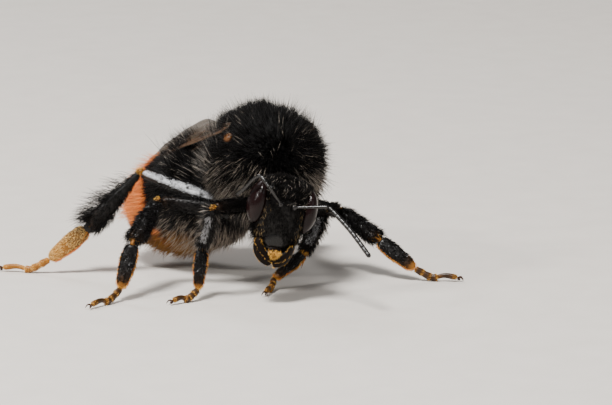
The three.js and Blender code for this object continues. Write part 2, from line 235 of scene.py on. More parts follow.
class Form:
    """A rounded section, broad one way and thin the other, that swells and narrows along a line."""

    count = 0

    def __init__(self, line, shares, broad, thin, ends=(0.3, 0.3), axis=UP):
        points = np.asarray(line, float)
        if len(points) > 2:
            points = self.curved(points)
        steps = np.linalg.norm(np.diff(points, axis=0), axis=1)
        self.shares = np.concatenate([[0], np.cumsum(steps)]) / steps.sum()
        self.points, self.length = points, steps.sum()
        self.knots, self.ends, self.axis = (shares, broad, thin), ends, np.asarray(axis, float)
        self.cell = Form.count
        Form.count += 1

    @staticmethod
    def curved(points):
        """A Catmull-Rom curve through the points."""
        extended = np.vstack([2 * points[0] - points[1], points, 2 * points[-1] - points[-2]])
        t = np.linspace(0, len(points) - 1 - 1e-9, 40 * (len(points) - 1) + 1)
        i = t.astype(int)
        t = (t - i)[:, None]
        a, b, c, d = (extended[i + k] for k in range(4))
        square, cube = 2 * a - 5 * b + 4 * c - d, 3 * b - a - 3 * c + d
        return 0.5 * (2 * b + (c - a) * t + square * t**2 + cube * t**3)

    def centre(self, s):
        """The middle of the section at a share of the line."""
        return np.stack([np.interp(s, self.shares, self.points[:, k]) for k in range(3)], axis=-1)

    def radii(self, s):
        """The broad and thin half-sizes, which close in a round end at both sides."""
        shares, broad, thin = self.knots
        closing = 1.0
        for end, from_end in zip(self.ends, (s, 1 - s)):
            inward = 1 - np.clip(from_end / end, 0, 1)
            closing = closing * np.sqrt(np.maximum(1 - inward**2, 0))
        return smooth(shares, broad, s) * closing, smooth(shares, thin, s) * closing

    def point(self, s, turn):
        """The point at a share of the line and an angle round it, where 0 is the broad axis."""
        along = unit(self.centre(np.minimum(s + NEAR, 1)) - self.centre(np.maximum(s - NEAR, 0)))
        first = unit(self.axis - np.sum(along * self.axis, axis=-1, keepdims=True) * along)
        second = np.cross(along, first)
        broad, thin = self.radii(s)
        reach = first * (np.cos(turn) * broad)[..., None] + second * (np.sin(turn) * thin)[..., None]
        return self.centre(s) + reach

    def places(self, s, turn):
        """Places on the form. The slopes come from a small step each way."""
        s = np.clip(s, 0.004, 0.996)
        here = self.point(s, turn)
        by_s = (self.point(s + NEAR_S, turn) - self.point(s - NEAR_S, turn)) / (2 * NEAR_S)
        by_turn = (self.point(s, turn + NEAR_TURN) - self.point(s, turn - NEAR_TURN)) / (2 * NEAR_TURN)
        across = np.cross(by_turn, by_s)
        out = unit(across)
        out *= np.sign(np.sum(out * (here - self.centre(s)), axis=-1, keepdims=True) + 1e-9)
        return Places(s, turn, here, out, unit(by_s), np.linalg.norm(across, axis=-1))

    def mesh(self, rows, columns):
        """The form's vertices and faces, closed by a point at each end."""
        s = 0.5 - 0.5 * np.cos(np.linspace(0, math.pi, rows + 1))
        turn = np.arange(columns) * 2 * math.pi / columns
        rings = self.point(*np.meshgrid(s[1:-1], turn, indexing="ij")).reshape(-1, 3)
        vertices = np.vstack([self.centre(np.array([0.0])), rings, self.centre(np.array([1.0]))])
        row, column = np.meshgrid(np.arange(rows - 2), np.arange(columns), indexing="ij")
        a = 1 + row * columns + column
        b = 1 + row * columns + (column + 1) % columns
        quads = np.stack([a, b, b + columns, a + columns], axis=-1).reshape(-1, 4)
        column = np.arange(columns)
        following = (column + 1) % columns
        last = 1 + (rows - 2) * columns
        first_fan = np.stack([np.zeros_like(column), 1 + following, 1 + column], axis=-1)
        tip = np.full_like(column, len(vertices) - 1)
        last_fan = np.stack([tip, last + column, last + following], axis=-1)
        return vertices, [*quads.tolist(), *first_fan.tolist(), *last_fan.tolist()]

    def roots(self, count, share=None):
        """Places where hairs stand: even over the form, or as thick as a share from 0 to 1 says."""
        rows, columns = ROOT_ROWS, ROOT_COLUMNS
        steps = (np.arange(rows) + 0.5) / rows, (np.arange(columns) + 0.5) / columns
        s, turn = np.meshgrid(*steps, indexing="ij")
        s, turn = s.ravel(), turn.ravel() * 2 * math.pi
        grid = self.places(s, turn)
        weight = grid.area if share is None else grid.area * np.maximum(share(grid), 0)
        pick = random.choice(len(weight), count, p=weight / weight.sum())
        s = np.clip(s[pick] + (random.random(count) - 0.5) / rows, 0.005, 0.995)
        turn = turn[pick] + (random.random(count) - 0.5) * 2 * math.pi / columns
        found = self.places(s, turn)
        cell = np.array([self.cell % BAKE_CELLS, self.cell // BAKE_CELLS])
        on_cell = np.stack([(turn / (2 * math.pi)) % 1, s], axis=-1)
        found.unwrap = (cell + 0.05 + 0.9 * on_cell) / BAKE_CELLS
        return found


print("forms can be asked for places, roots and their mesh")

# %% [markdown]
# ## From arrays to meshes
#
# A mesh is vertices and faces, and Blender takes both as arrays. Whole coats of hair are written
# this way in a fraction of a second, where a loop with one call for each hair would take minutes.

# %% Mesh helpers
def write_values(mesh, points):
    """Numbers kept at the mesh's points, which the finishes read."""
    for key, values in points.items():
        mesh.attributes.new(key, "FLOAT", "POINT").data.foreach_set("value", np.asarray(values, "f"))


def fasten(mesh, material, replaced=()):
    """Puts a mesh in the scene, on the bee's one body, and hides the frame's solids that it stands for."""
    made = bpy.data.objects.new(mesh.name, mesh)
    bpy.context.collection.objects.link(made)
    made.data.materials.append(material)
    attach(made, "root")
    if replaced:
        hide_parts(*replaced)


def piece(name, vertices, faces, material, slot, replaced=(), points=None):
    """A piece from vertices and faces in millimetres in the bee's frame."""
    mesh = bpy.data.meshes.new(name)
    mesh.from_pydata(placed(vertices).tolist(), [], faces)
    mesh.polygons.foreach_set("use_smooth", [True] * len(mesh.polygons))
    write_values(mesh, points or {})
    mesh.update()
    fasten(mesh, material, replaced)


def joined(parts):
    """Several meshes as one."""
    vertices, faces, start = [], [], 0
    for points, sides in parts:
        vertices.append(points)
        faces.extend([[start + corner for corner in side] for side in sides])
        start += len(points)
    return np.vstack(vertices), faces


print("mesh helpers ready")

# %% [markdown]
# ## Hairs
#
# A bee's coat is thousands of fine, tapering, feathery hairs. Blender has particle hair, but it
# doesn't survive an export, so each hair is a thin three-sided spike of mesh with one bend in it.
# Neighbours lean the same way in loose tufts, which a slow wave through space gives them.

# %% Hairs from roots
ROOT_DEPTH, LEAST_RISE = 0.05, 0.12


def wander(points, size, seed):
    """A slow, smooth change of direction through space, the same for near neighbours."""
    waves = np.random.default_rng(seed)
    result = np.zeros_like(points)
    for k in range(5):
        turn = waves.normal(size=(3, 3)) * (2.2 / size) * (0.7 + 0.35 * k)
        result += np.sin(points @ turn + waves.random(3) * 6.283) / (1 + 0.4 * k)
    return result * 0.45


def hairs(roots, length, lift, lie=None, width=0.04, loose=0.12, tufts=0.22, bend=0.35, size=0.7,
          uneven=0.14):
    """Hairs on their roots, as the seven corners of each.

    Lift is 1 for upright and 0 for flat along the lie, which is along the form if none is given.
    Loose is how far each hair goes its own way, tufts how far it follows a tuft of this size.
    """
    point, out = roots.point, roots.out
    count = len(point)
    length, lift = (np.broadcast_to(np.asarray(v, float), count) for v in (length, lift))
    lie = np.broadcast_to(np.asarray(roots.along if lie is None else lie, float), (count, 3))
    lie = unit(lie - np.sum(lie * out, axis=1, keepdims=True) * out)
    lean = np.sqrt(np.maximum(1 - lift**2, 0))[:, None]
    tuft = wander(point, size, 5)
    way = unit(out * lift[:, None] + lie * lean + tuft * tufts + random.normal(size=(count, 3)) * loose)
    way = unit(way + out * np.maximum(LEAST_RISE - np.sum(way * out, axis=1), 0)[:, None])
    tip_way = unit(way + lie * bend + random.normal(size=(count, 3)) * loose * 0.6)
    span = length * (1 + uneven * tuft[:, 0]) * random.uniform(0.72, 1.1, count)
    root = point - out * ROOT_DEPTH
    middle = root + way * (span * 0.5)[:, None]
    tip = middle + tip_way * (span * 0.5)[:, None]
    across = unit(np.cross(way, random.normal(size=(count, 3))))
    other = np.cross(way, across)
    thick = width * random.uniform(0.8, 1.2, count)[:, None]
    corners = []
    for base, share in ((root, 1.0), (middle, 0.72)):
        for k in range(3):
            turn = 2 * math.pi * k / 3
            reach = across * math.cos(turn) + other * math.sin(turn)
            corners.append(base + reach * thick * share * 0.5)
    corners.append(tip)
    shade = np.clip(random.random(count) * 0.6 + 0.4 * (0.5 + tuft[:, 1]), 0, 1)
    return {"corners": np.stack(corners, axis=1), "shade": shade, "unwrap": roots.unwrap}


def grow(form, count, share, length, lift, lie=None, **look):
    """Hairs on a form. Length, lift and lie may each be worked out from the roots by a function."""
    roots = form.roots(count, share)
    length, lift, lie = (value(roots) if callable(value) else value for value in (length, lift, lie))
    return hairs(roots, length, lift, lie, **look)


def only(group, chosen):
    """The chosen hairs of a group."""
    return {key: values[chosen] for key, values in group.items()}


# %% Coats from hairs
SIDES_OF_A_HAIR = [[0, 1, 4, 3], [1, 2, 5, 4], [2, 0, 3, 5], [3, 4, 6], [4, 5, 6], [5, 3, 6]]
CORNERS_PER_HAIR, TRIANGLES_PER_HAIR = 7, 9
RISE = np.array([0, 0, 0, 0.5, 0.5, 0.5, 1.0])
BAKE_PATCH = 0.003 * np.stack([np.array([0, 0.5, 1, 0, 0.5, 1, 0.5]), RISE], axis=-1)
LARGEST_COAT_PIECE = 20000
coat_pieces = []


def coat(name, groups, material):
    """Groups of hairs as pieces of mesh, none of them too large to handle."""
    merged = {key: np.concatenate([group[key] for group in groups]) for key in groups[0]}
    count = len(merged["shade"])
    parts = math.ceil(count / LARGEST_COAT_PIECE)
    loops = np.concatenate(SIDES_OF_A_HAIR)
    starts = np.cumsum([0] + [len(side) for side in SIDES_OF_A_HAIR[:-1]])
    for part in range(parts):
        chosen = {key: values[part::parts] for key, values in merged.items()}
        n = len(chosen["shade"])
        each = np.arange(n)[:, None]
        mesh = bpy.data.meshes.new(f"{name}_{part + 1}")
        mesh.vertices.add(n * CORNERS_PER_HAIR)
        mesh.vertices.foreach_set("co", placed(chosen["corners"].reshape(-1, 3)).astype("f").ravel())
        mesh.loops.add(n * len(loops))
        mesh.loops.foreach_set("vertex_index", (each * CORNERS_PER_HAIR + loops).ravel().astype("i"))
        mesh.polygons.add(n * len(SIDES_OF_A_HAIR))
        mesh.polygons.foreach_set("loop_start", (each * len(loops) + starts).ravel().astype("i"))
        mesh.polygons.foreach_set("use_smooth", np.ones(n * len(SIDES_OF_A_HAIR), bool))
        unwrap = mesh.uv_layers.new(name="OFBake")
        places = (chosen["unwrap"][:, None, :] + BAKE_PATCH[loops][None]).reshape(-1)
        unwrap.data.foreach_set("uv", places.astype("f"))
        shade = np.repeat(chosen["shade"], CORNERS_PER_HAIR)
        write_values(mesh, {"shade": shade, "rise": np.tile(RISE, n)})
        mesh.update(calc_edges=True)
        fasten(mesh, material)
        coat_pieces.append(n * TRIANGLES_PER_HAIR)
    print(name, count, "hairs in", parts, "pieces")


# %% [markdown]
# ## The finishes
#
# The shell of a bee is chitin: black or honey-brown, harder and glossier where it is bare, pitted
# where hairs grow. Hairs are glossy too, but so thin that a whole coat looks like velvet. Each
# finish below varies in colour and roughness, from noise and from values kept at the points.

# %% Hair finishes
def hair_finish(name, dark, light, tip, shine, gloss=0.3):
    """Hair that is darker at the root, with every strand a little different."""
    paint = Paint(name)
    shade, rise = paint.attribute("shade"), paint.attribute("rise")
    body = paint.mix(shade * 0.75 + 0.25 * paint.noise(1.1), dark, light)
    colour = paint.mix((rise**1.4) * (0.35 + 0.5 * shade), body, tip)
    return paint.finish(Base_Color=colour, Roughness=shine + 0.16 * shade, Specular_IOR_Level=gloss)


BLACK_HAIR = hair_finish("black_hair", (0.001, 0.0009, 0.0009), (0.0042, 0.0036, 0.0034),
                         (0.008, 0.0065, 0.006), 0.26, 0.2)
VELVET_HAIR = hair_finish("velvet_hair", (0.0008, 0.0007, 0.0007), (0.003, 0.0026, 0.0025),
                          (0.006, 0.005, 0.0045), 0.4, 0.06)
DEEP_HAIR = hair_finish("deep_hair", (0.0006, 0.0006, 0.0006), (0.0022, 0.002, 0.002),
                        (0.0045, 0.004, 0.004), 0.3, 0.07)
RED_HAIR = hair_finish("red_hair", (0.5, 0.085, 0.01), (0.98, 0.25, 0.035), (1.0, 0.46, 0.15), 0.42)
GOLD_HAIR = hair_finish("gold_hair", (0.36, 0.12, 0.006), (0.97, 0.47, 0.035), (1.0, 0.7, 0.2), 0.34)
PALE_GOLD_HAIR = hair_finish("pale_gold_hair", (0.8, 0.42, 0.08), (1.0, 0.64, 0.19),
                             (1.0, 0.8, 0.38), 0.3, 0.4)
# Straw hairs, used as painted glints by the eyes.
STRAW_HAIR = hair_finish("straw_hair", (0.06, 0.035, 0.012), (0.28, 0.18, 0.07), (0.6, 0.44, 0.22), 0.3)
RUST_HAIR = hair_finish("rust_hair", (0.055, 0.021, 0.002), (0.21, 0.083, 0.008),
                        (0.36, 0.17, 0.03), 0.36, 0.2)
# Pale ash hairs: their light colour is painted light on hairs that hang in the shade under the body.
ASH_HAIR = hair_finish("ash_hair", (0.09, 0.07, 0.055), (0.42, 0.34, 0.27), (0.8, 0.69, 0.56), 0.28)
# Grey hairs: on the thorax, the shoulders and the crown they are painted glints on the black coat.
GREY_HAIR = hair_finish("grey_hair", (0.06, 0.05, 0.042), (0.3, 0.25, 0.205), (0.6, 0.53, 0.45), 0.26)
# Pale hairs that are painted glints and painted highlights on the legs.
GLINT_HAIR = hair_finish("glint_hair", (0.1, 0.1, 0.105), (0.7, 0.72, 0.76),
                          (0.95, 0.96, 0.98), 0.24, 1.0)
print("hair finishes ready")

# %% [markdown]
# The skin is one surface, so its markings are painted by values at its points: how far a place is
# red like the tail, how far it is honey-brown like the feet and the soft skin of the joints, and how
# far it carries the painted highlight of the hind femora, a pale grey where they face half-way between
# the camera and the key lamp.

# %% Shell finishes
def skin_finish():
    """The dark skin of head, trunk and legs, with its markings and a painted highlight."""
    paint = Paint("shell")
    tail, honey, painted_gleam = (paint.attribute(name) for name in ("tail", "honey", "painted_gleam"))
    pits = paint.cells(9.0).between(0.05, 0.42)
    clouds = paint.noise(1.6)
    black = paint.mix(clouds, (0.0015, 0.0013, 0.0014), (0.006, 0.0048, 0.0045))
    brown = paint.mix(paint.noise(3.2), (0.22, 0.065, 0.006), (0.62, 0.25, 0.02))
    red = paint.mix(clouds, (0.11, 0.016, 0.005), (0.24, 0.04, 0.01))
    colour = paint.mix(honey, paint.mix(tail, black, red), brown)
    # Painted highlight: pale grey where painted_gleam is high, broken up by pits and noise.
    colour = paint.mix(painted_gleam * pits * paint.noise(2.6).between(0.3, 0.6), colour, (0.6, 0.61, 0.64))
    rough = 0.3 + 0.2 * clouds + 0.25 * tail + 0.14 * painted_gleam
    normal = paint.bump(pits * 0.6 + paint.noise(7.0) * 0.4, 0.02, 0.6)
    return paint.finish(Base_Color=colour, Roughness=rough, Specular_IOR_Level=0.26, Normal=normal)


def plate_finish(name, dark, light, rough, per_mm, pit=0.015, gloss=0.3):
    """Bare shell, pitted, in one family of colours."""
    paint = Paint(name)
    clouds = paint.noise(per_mm * 0.4)
    pits = paint.cells(per_mm).between(0.04, 0.4)
    colour = paint.mix(clouds * 0.8 + 0.2 * pits, dark, light)
    normal = paint.bump(pits * 0.7 + 0.3 * paint.noise(per_mm * 1.7), pit, 0.7)
    rough = rough + 0.15 * clouds
    return paint.finish(Base_Color=colour, Roughness=rough, Normal=normal, Specular_IOR_Level=gloss)


SHELL = skin_finish()
FACE_SHELL = plate_finish("face_shell", (0.001, 0.001, 0.0011), (0.004, 0.0036, 0.0036),
                          0.2, 9.0, 0.006, 0.3)
FEELER_SHELL = plate_finish("feeler_shell", (0.002, 0.0017, 0.0017), (0.005, 0.004, 0.0037),
                            0.2, 22.0, 0.004, 0.5)
JAW_SHELL = plate_finish("jaw_shell", (0.0015, 0.001, 0.0008), (0.005, 0.0025, 0.0016),
                         0.4, 6.0, 0.02, 0.08)
HONEY_SHELL = plate_finish("honey_shell", (0.02, 0.007, 0.002), (0.2, 0.075, 0.018), 0.25, 3.0)
CLAW_SHELL = plate_finish("claw_shell", (0.006, 0.003, 0.002), (0.06, 0.02, 0.006), 0.2, 5.0)
print("shell finishes ready")

# %% [markdown]
# An eye is a dome of tiny lenses, too fine to model, so a cell pattern gives it their bumps. A wing
# is film that lets light through by patches, which Alpha does without the cost of real glass.

# %% Eye and wing finishes
def eye_finish():
    """A compound eye: a glossy dome of some thousand tiny facets."""
    paint = Paint("eye")
    facets = paint.cells(17.0)
    clouds = paint.noise(0.7)
    colour = paint.mix(clouds, (0.0025, 0.0012, 0.0014), (0.012, 0.0045, 0.0045))
    normal = paint.bump(1 - facets.between(0.1, 0.6), 0.01, 0.35)
    rough = 0.15 + 0.05 * facets
    return paint.finish(Base_Color=colour, Roughness=rough, Normal=normal, Specular_IOR_Level=0.17)


def wing_finish():
    """Smoky film, darker towards the tip and along the veins."""
    paint = Paint("wing_film")
    smoke = paint.attribute("smoke")
    streaks = paint.noise(0.9, 4.0)
    colour = paint.mix(streaks, (0.014, 0.009, 0.004), (0.085, 0.052, 0.024))
    normal = paint.bump(paint.noise(4.0) * 0.6 + streaks * 0.4, 0.05, 0.6)
    see = 0.48 + 0.2 * smoke + 0.25 * streaks
    return paint.finish(Base_Color=colour, Roughness=0.22 + 0.2 * streaks, Alpha=see, Normal=normal)


EYE = eye_finish()
WING_FILM = wing_finish()
WING_VEIN = plate_finish("wing_vein", (0.02, 0.009, 0.004), (0.11, 0.05, 0.02), 0.3, 5.0)
print("eye and wing finishes ready")

# %% [markdown]
# ## The trunk
#
# Head, neck, thorax, waist and abdomen are separate capsules in a bee, but what the eye meets is one
# dark surface under the coat. The capsules are made as forms, joined, and remeshed into a single
# closed skin, so there is no seam for a gap between the hairs to show. It lies inside the frame's
# solids by the depth of the coat.

# %% The head's own directions
# The head is turned to the bee's right and tilted, so it has a left, a crown and a front of its own.
HEAD_MIDDLE = np.array([-1.4, -5.4, 6.1])
HEAD_YAW, HEAD_ROLL = math.radians(-12), math.radians(14.6)
FORWARD = np.array([math.sin(HEAD_YAW), -math.cos(HEAD_YAW), 0.0])
LEVEL = np.array([math.cos(HEAD_YAW), math.sin(HEAD_YAW), 0.0])
CROWNWARD = math.cos(HEAD_ROLL) * UP + math.sin(HEAD_ROLL) * LEVEL
LEFTWARD = math.cos(HEAD_ROLL) * LEVEL - math.sin(HEAD_ROLL) * UP
HEAD_WAYS = np.array([LEFTWARD, CROWNWARD, FORWARD])


def on_head(points):
    """Head coordinates, which are left, towards the crown and out of the face, in the bee's frame."""
    return HEAD_MIDDLE + np.asarray(points, float) @ HEAD_WAYS


def from_head(points):
    """Points in the bee's frame as three arrays of head coordinates."""
    return ((points - HEAD_MIDDLE) @ HEAD_WAYS.T).T


# %% The capsules
head_form = Form(
    on_head([[0, 2.78, -0.1], [0, 0.2, 0.0], [0, -2.35, 0.12]]),
    [0, 0.1, 0.22, 0.4, 0.55, 0.7, 0.84, 1],
    [1.55, 1.75, 2.0, 2.15, 2.05, 1.75, 1.42, 1.05],
    [0.8, 0.95, 1.1, 1.17, 1.15, 1.05, 0.9, 0.65],
    ends=(0.14, 0.1), axis=LEFTWARD,
)
thorax_form = Form([[0.16, -3.45, 8.11], [-0.06, 4.25, 9.43]], [0, 0.5, 1], [3.4, 3.42, 3.4],
                   [3.35, 3.38, 3.35], ends=(0.5, 0.5))
neck_form = Form([[0.1, -3.0, 7.7], [-1.1, -4.7, 6.6]], [0, 1], [1.3, 1.1], [1.3, 1.1], ends=(0.2, 0.2))
waist_form = Form([[0, 2.9, 8.3], [-0.3, 5.1, 6.8]], [0, 1], [1.5, 1.9], [1.5, 1.9], ends=(0.2, 0.2))
ABDOMEN_LINE = [[-0.1, 3.7, 7.45], [-0.7, 5.9, 6.1], [-2.1, 8.3, 4.95], [-3.6, 10.7, 3.95],
                [-4.5, 12.5, 3.25]]
PLATE_EDGES = [0.0, 0.2, 0.38, 0.56, 0.73, 0.88, 1.0]
plate_shares, plate_sizes = [], []
for front, back in zip(PLATE_EDGES[:-1], PLATE_EDGES[1:]):
    plate_shares += [front + 0.006, back - 0.006]
    plate_sizes += [0.985, 1.02]
plate_sizes = np.array(plate_sizes)
abdomen_form = Form(ABDOMEN_LINE, plate_shares, 3.72 * plate_sizes, 3.66 * plate_sizes, ends=(0.42, 0.5))
trunk_forms = [head_form, thorax_form, neck_form, waist_form, abdomen_form]
print("capsules:", len(trunk_forms))

# %% One skin over the capsules
VOXEL = 0.13


def one_surface(forms):
    """The forms as one closed surface of even quads."""
    vertices, faces = joined([form.mesh(48, 44) for form in forms])
    mesh = bpy.data.meshes.new("capsules")
    mesh.from_pydata(vertices.tolist(), [], faces)
    maker = bpy.data.objects.new("capsules", mesh)
    bpy.context.collection.objects.link(maker)
    remesh = maker.modifiers.new("one_surface", "REMESH")
    remesh.mode, remesh.voxel_size = "VOXEL", VOXEL
    smoothing = maker.modifiers.new("smooth", "SMOOTH")
    smoothing.factor, smoothing.iterations = 0.5, 3
    changed = maker.evaluated_get(bpy.context.evaluated_depsgraph_get())
    result = bpy.data.meshes.new_from_object(changed)
    points = np.empty(len(result.vertices) * 3)
    result.vertices.foreach_get("co", points)
    sides = [list(polygon.vertices) for polygon in result.polygons]
    bpy.data.objects.remove(maker)
    bpy.data.meshes.remove(result)
    return points.reshape(-1, 3), sides


def share_along(form, points):
    """Where points lie along a form's line, and how far out of it in terms of its radii."""
    s = np.linspace(0.01, 0.99, 60)
    line = form.centre(s)
    nearest = np.argmin(((points[:, None, :] - line[None]) ** 2).sum(-1), axis=1)
    broad, thin = form.radii(s)
    away = np.linalg.norm(points - line[nearest], axis=1)
    return s[nearest], away / np.maximum(np.minimum(broad, thin)[nearest], 0.05)


trunk_vertices, trunk_faces = one_surface(trunk_forms)
print("trunk vertices:", len(trunk_vertices))

# %% Where the tail is red
# Red starts at this share of the abdomen, and a little further back on its top.
RED_FROM, RED_SLANT = 0.63, 0.05
ABDOMEN_HALF, WAIST_AT = 3.7, 5.5
along_abdomen, _ = share_along(abdomen_form, trunk_vertices)
above_line = (trunk_vertices - abdomen_form.centre(along_abdomen))[:, 2]
trunk_top = np.clip(above_line / ABDOMEN_HALF, 0, 1)
trunk_tail = np.clip((along_abdomen - RED_FROM - RED_SLANT * trunk_top) / 0.03, 0, 1)
trunk_tail = trunk_tail * (trunk_vertices[:, 1] > WAIST_AT)
print("red vertices:", int((trunk_tail > 0.5).sum()))

# %% [markdown]
# ## The legs
#
# An insect's leg is a row of stiff tubes with soft joints: a strong femur, a tibia with spurs at its
# end, a long flat basitarsus, four small tarsal joints and a foot with two claws. Each tube is a
# form of its own, so it can be gloss black in one place and honey-brown in the next. The lines come
# from the same hips, lengths and angles as the frame's.

# %% Where the legs go
# Hip, then the lengths of femur, tibia, basitarsus and tarsus, and the height of the heel.
LEG_SIZES = {
    "front": ([1.9, -2.3, 6.6], 3.7, 3.5, 2.95, 2.3, 0.8),
    "middle": ([2.5, 0.1, 5.5], 5.4, 4.2, 3.4, 3.2, 0.9),
    "hind": ([2.7, 2.3, 6.0], 6.2, 5.7, 3.8, 3.7, 1.05),
}
# Swing and lift of femur and tibia, then the swings of basitarsus and tarsus, in degrees.
STANCE = {
    ("front", "right"): ((-14, 2), (82, -64), -49, -12),
    ("front", "left"): ((39, -25), (205, -50), 187, 230),
    ("middle", "right"): ((27, 9), (-36, -35), -31, -26),
    ("middle", "left"): ((29, -12), (-70, -22), -48, -30),
    ("hind", "right"): ((44, 16), (35, -48), 32, 38),
    ("hind", "left"): ((55, 25), (60, -70), 75, 75),
}
SOLE_HEIGHT, BALL_SHARE = 0.25, 0.45


def leg_line(pair, side_name):
    """Hip, knee, ankle, heel, ball and toe of one leg."""
    side = SIDES[side_name]
    hip, femur, tibia, basitarsus, tarsus, heel_height = LEG_SIZES[pair]
    femur_way, tibia_way, basitarsus_swing, tarsus_swing = STANCE[pair, side_name]
    hip = np.array(hip) * [side, 1, 1]
    knee = hip + heading(side, *femur_way) * femur
    ankle = knee + heading(side, *tibia_way) * tibia
    sink = math.degrees(math.asin((heel_height - ankle[2]) / basitarsus))
    heel = ankle + heading(side, basitarsus_swing, sink) * basitarsus
    sink = math.degrees(math.asin((SOLE_HEIGHT - heel[2]) / (BALL_SHARE * tarsus)))
    ball = heel + heading(side, tarsus_swing, sink) * BALL_SHARE * tarsus
    toe = ball + heading(side, tarsus_swing, 0) * 0.55 * tarsus
    return hip, knee, ankle, heel, ball, toe


def between(first, last, *shares):
    """Points at shares of the way between two points."""
    return [first + (last - first) * share for share in shares]


# %% The forms of a leg
# Shares of the length, then the broad and the thin half-sizes there.
TIBIA_SHAPES = {
    "front": ([0, 0.12, 0.45, 0.85, 1], [0.26, 0.3, 0.36, 0.37, 0.32], [0.25, 0.27, 0.31, 0.32, 0.28]),
    "middle": ([0, 0.12, 0.5, 0.88, 1], [0.3, 0.38, 0.55, 0.6, 0.44], [0.27, 0.3, 0.36, 0.38, 0.32]),
    "hind": ([0, 0.1, 0.4, 0.75, 0.93, 1], [0.22, 0.26, 0.42, 0.6, 0.6, 0.46],
             [0.2, 0.24, 0.34, 0.4, 0.4, 0.34]),
}
FEMUR_SHAPE = ([0, 0.1, 0.4, 0.8, 0.94, 1], [0.34, 0.44, 0.5, 0.4, 0.36, 0.28],
               [0.28, 0.3, 0.34, 0.3, 0.29, 0.25])
MIDDLE_FEMUR = 1.2
BASITARSUS_HALF = {"front": 0.42, "middle": 0.54, "hind": 0.62}
TARSAL_CUTS = [0.0, 0.2, 0.38, 0.54, 1.0]
SPURS = {"front": 1, "middle": 1, "hind": 2}
# The broad way of the flat front and middle tibiae: level, across the bee and a little forward.
ACROSS = np.array([0.906, -0.423, 0.0])


def leg_forms(pair, side_name):
    """The tubes of one leg, each with how honey-brown it is at its start and at its end."""
    hip, knee, ankle, heel, ball, toe = leg_line(pair, side_name)
    hind = pair == "hind"
    thigh, shin, sole = unit(knee - hip), unit(ankle - knee), unit(heel - ankle)
    turned = np.array([-0.58 * SIDES[side_name], 0.29, 0.76]) if hind else UP
    flat = UP if hind else ACROSS
    coxa = Form([hip - thigh * 1.1 + UP * 0.3, hip + thigh * 0.15], [0, 1], [0.62, 0.42], [0.55, 0.38])
    stout = MIDDLE_FEMUR if pair == "middle" else 1.0
    femur_shape = (FEMUR_SHAPE[0], *(stout * np.array(sizes) for sizes in FEMUR_SHAPE[1:]))
    femur = Form(between(hip, knee, 0.02, 0.5, 0.97), *femur_shape, ends=(0.06, 0.06), axis=turned)
    bend = unit(unit(hip - knee) + shin)
    knee_line = [knee - thigh * 0.3, knee - bend * 0.1, knee + shin * 0.3]
    joint = Form(knee_line, [0, 0.5, 1], [0.14, 0.17, 0.14], [0.14, 0.17, 0.14])
    tibia_line = between(knee, ankle, 0.02, 0.5, 0.975)
    tibia = Form(tibia_line, *TIBIA_SHAPES[pair], ends=(0.07, 0.05), axis=flat)
    honey, size = (0.0, 0.36) if hind else (0.5, 0.21)
    ankle_line = between(ankle, heel, -0.1, 0.08)
    ankle_joint = Form(ankle_line, [0, 1], [size, size], [size * 0.9, size * 0.9])
    broad = BASITARSUS_HALF[pair]
    sizes = [broad * 0.62, broad * 0.86, broad * 1.04, broad * 0.78, broad * 0.55]
    basitarsus = Form(between(ankle, heel, 0.03, 0.5, 0.98), [0, 0.08, 0.35, 0.85, 1], sizes,
                      [0.17, 0.2, 0.2, 0.17, 0.14], ends=(0.16 if hind else 0.06, 0.1), axis=flat)
    forms = {
        "coxa": (coxa, 0, 0.1),
        "femur": (femur, 0, 0.08),
        "knee": (joint, 0.4, 0.4),
        "tibia": (tibia, 0.0, 0.12),
        "ankle": (ankle_joint, honey, honey),
        "basitarsus": (basitarsus, 0.3 if hind else 0.0, 0.8),
    }
    arch = ball + (toe - ball) * 0.45 + UP * 0.2
    path = Form([heel, ball + UP * 0.02, arch, toe + UP * 0.06], [0, 1], [1, 1], [1, 1])
    for number, (front, back) in enumerate(zip(TARSAL_CUTS[:-1], TARSAL_CUTS[1:])):
        last = number == 3
        size = [0.16, 0.17, 0.21, 0.18] if last else [0.22, 0.24, 0.28, 0.25]
        line = path.centre(np.linspace(front - 0.03, back + 0.005, 5 if last else 3))
        tarsal = Form(line, [0, 0.3, 0.8, 1], size, np.array(size) * 0.85, ends=(0.14, 0.1))
        forms[f"tarsal_{number + 2}"] = (tarsal, 0.95, 0.9)
    for number in range(SPURS[pair]):
        across = unit(np.cross(ankle - knee, UP)) * (0.16 if number else -0.16)
        across = across + UP * (0.1 if number else -0.2)
        start = ankle - shin * 0.1 + across * 0.8
        tip = start + unit(shin * 0.8 + sole * 0.7 - UP * 0.35 + across * 1.6) * 1.15
        sizes = [0.075, 0.05, 0.012]
        forms[f"spur_{number + 1}"] = (Form([start, tip], [0, 0.5, 1], sizes, sizes), 0.7, 0.7)
    return forms


legs = {key: leg_forms(*key) for key in STANCE}
print("legs:", len(legs), "with", sum(len(forms) for forms in legs.values()), "tubes")

# %% [markdown]
# ## The skin
#
# Trunk and legs share one mesh, so they share one finish. The tubes of the legs run into one
# another and into the trunk, as the hard tubes of an insect run into their soft joints.

# %% The skin's mesh
LEG_MESH = {"femur": (22, 16), "tibia": (26, 18), "basitarsus": (20, 14)}
SMALL_MESH = (12, 10)
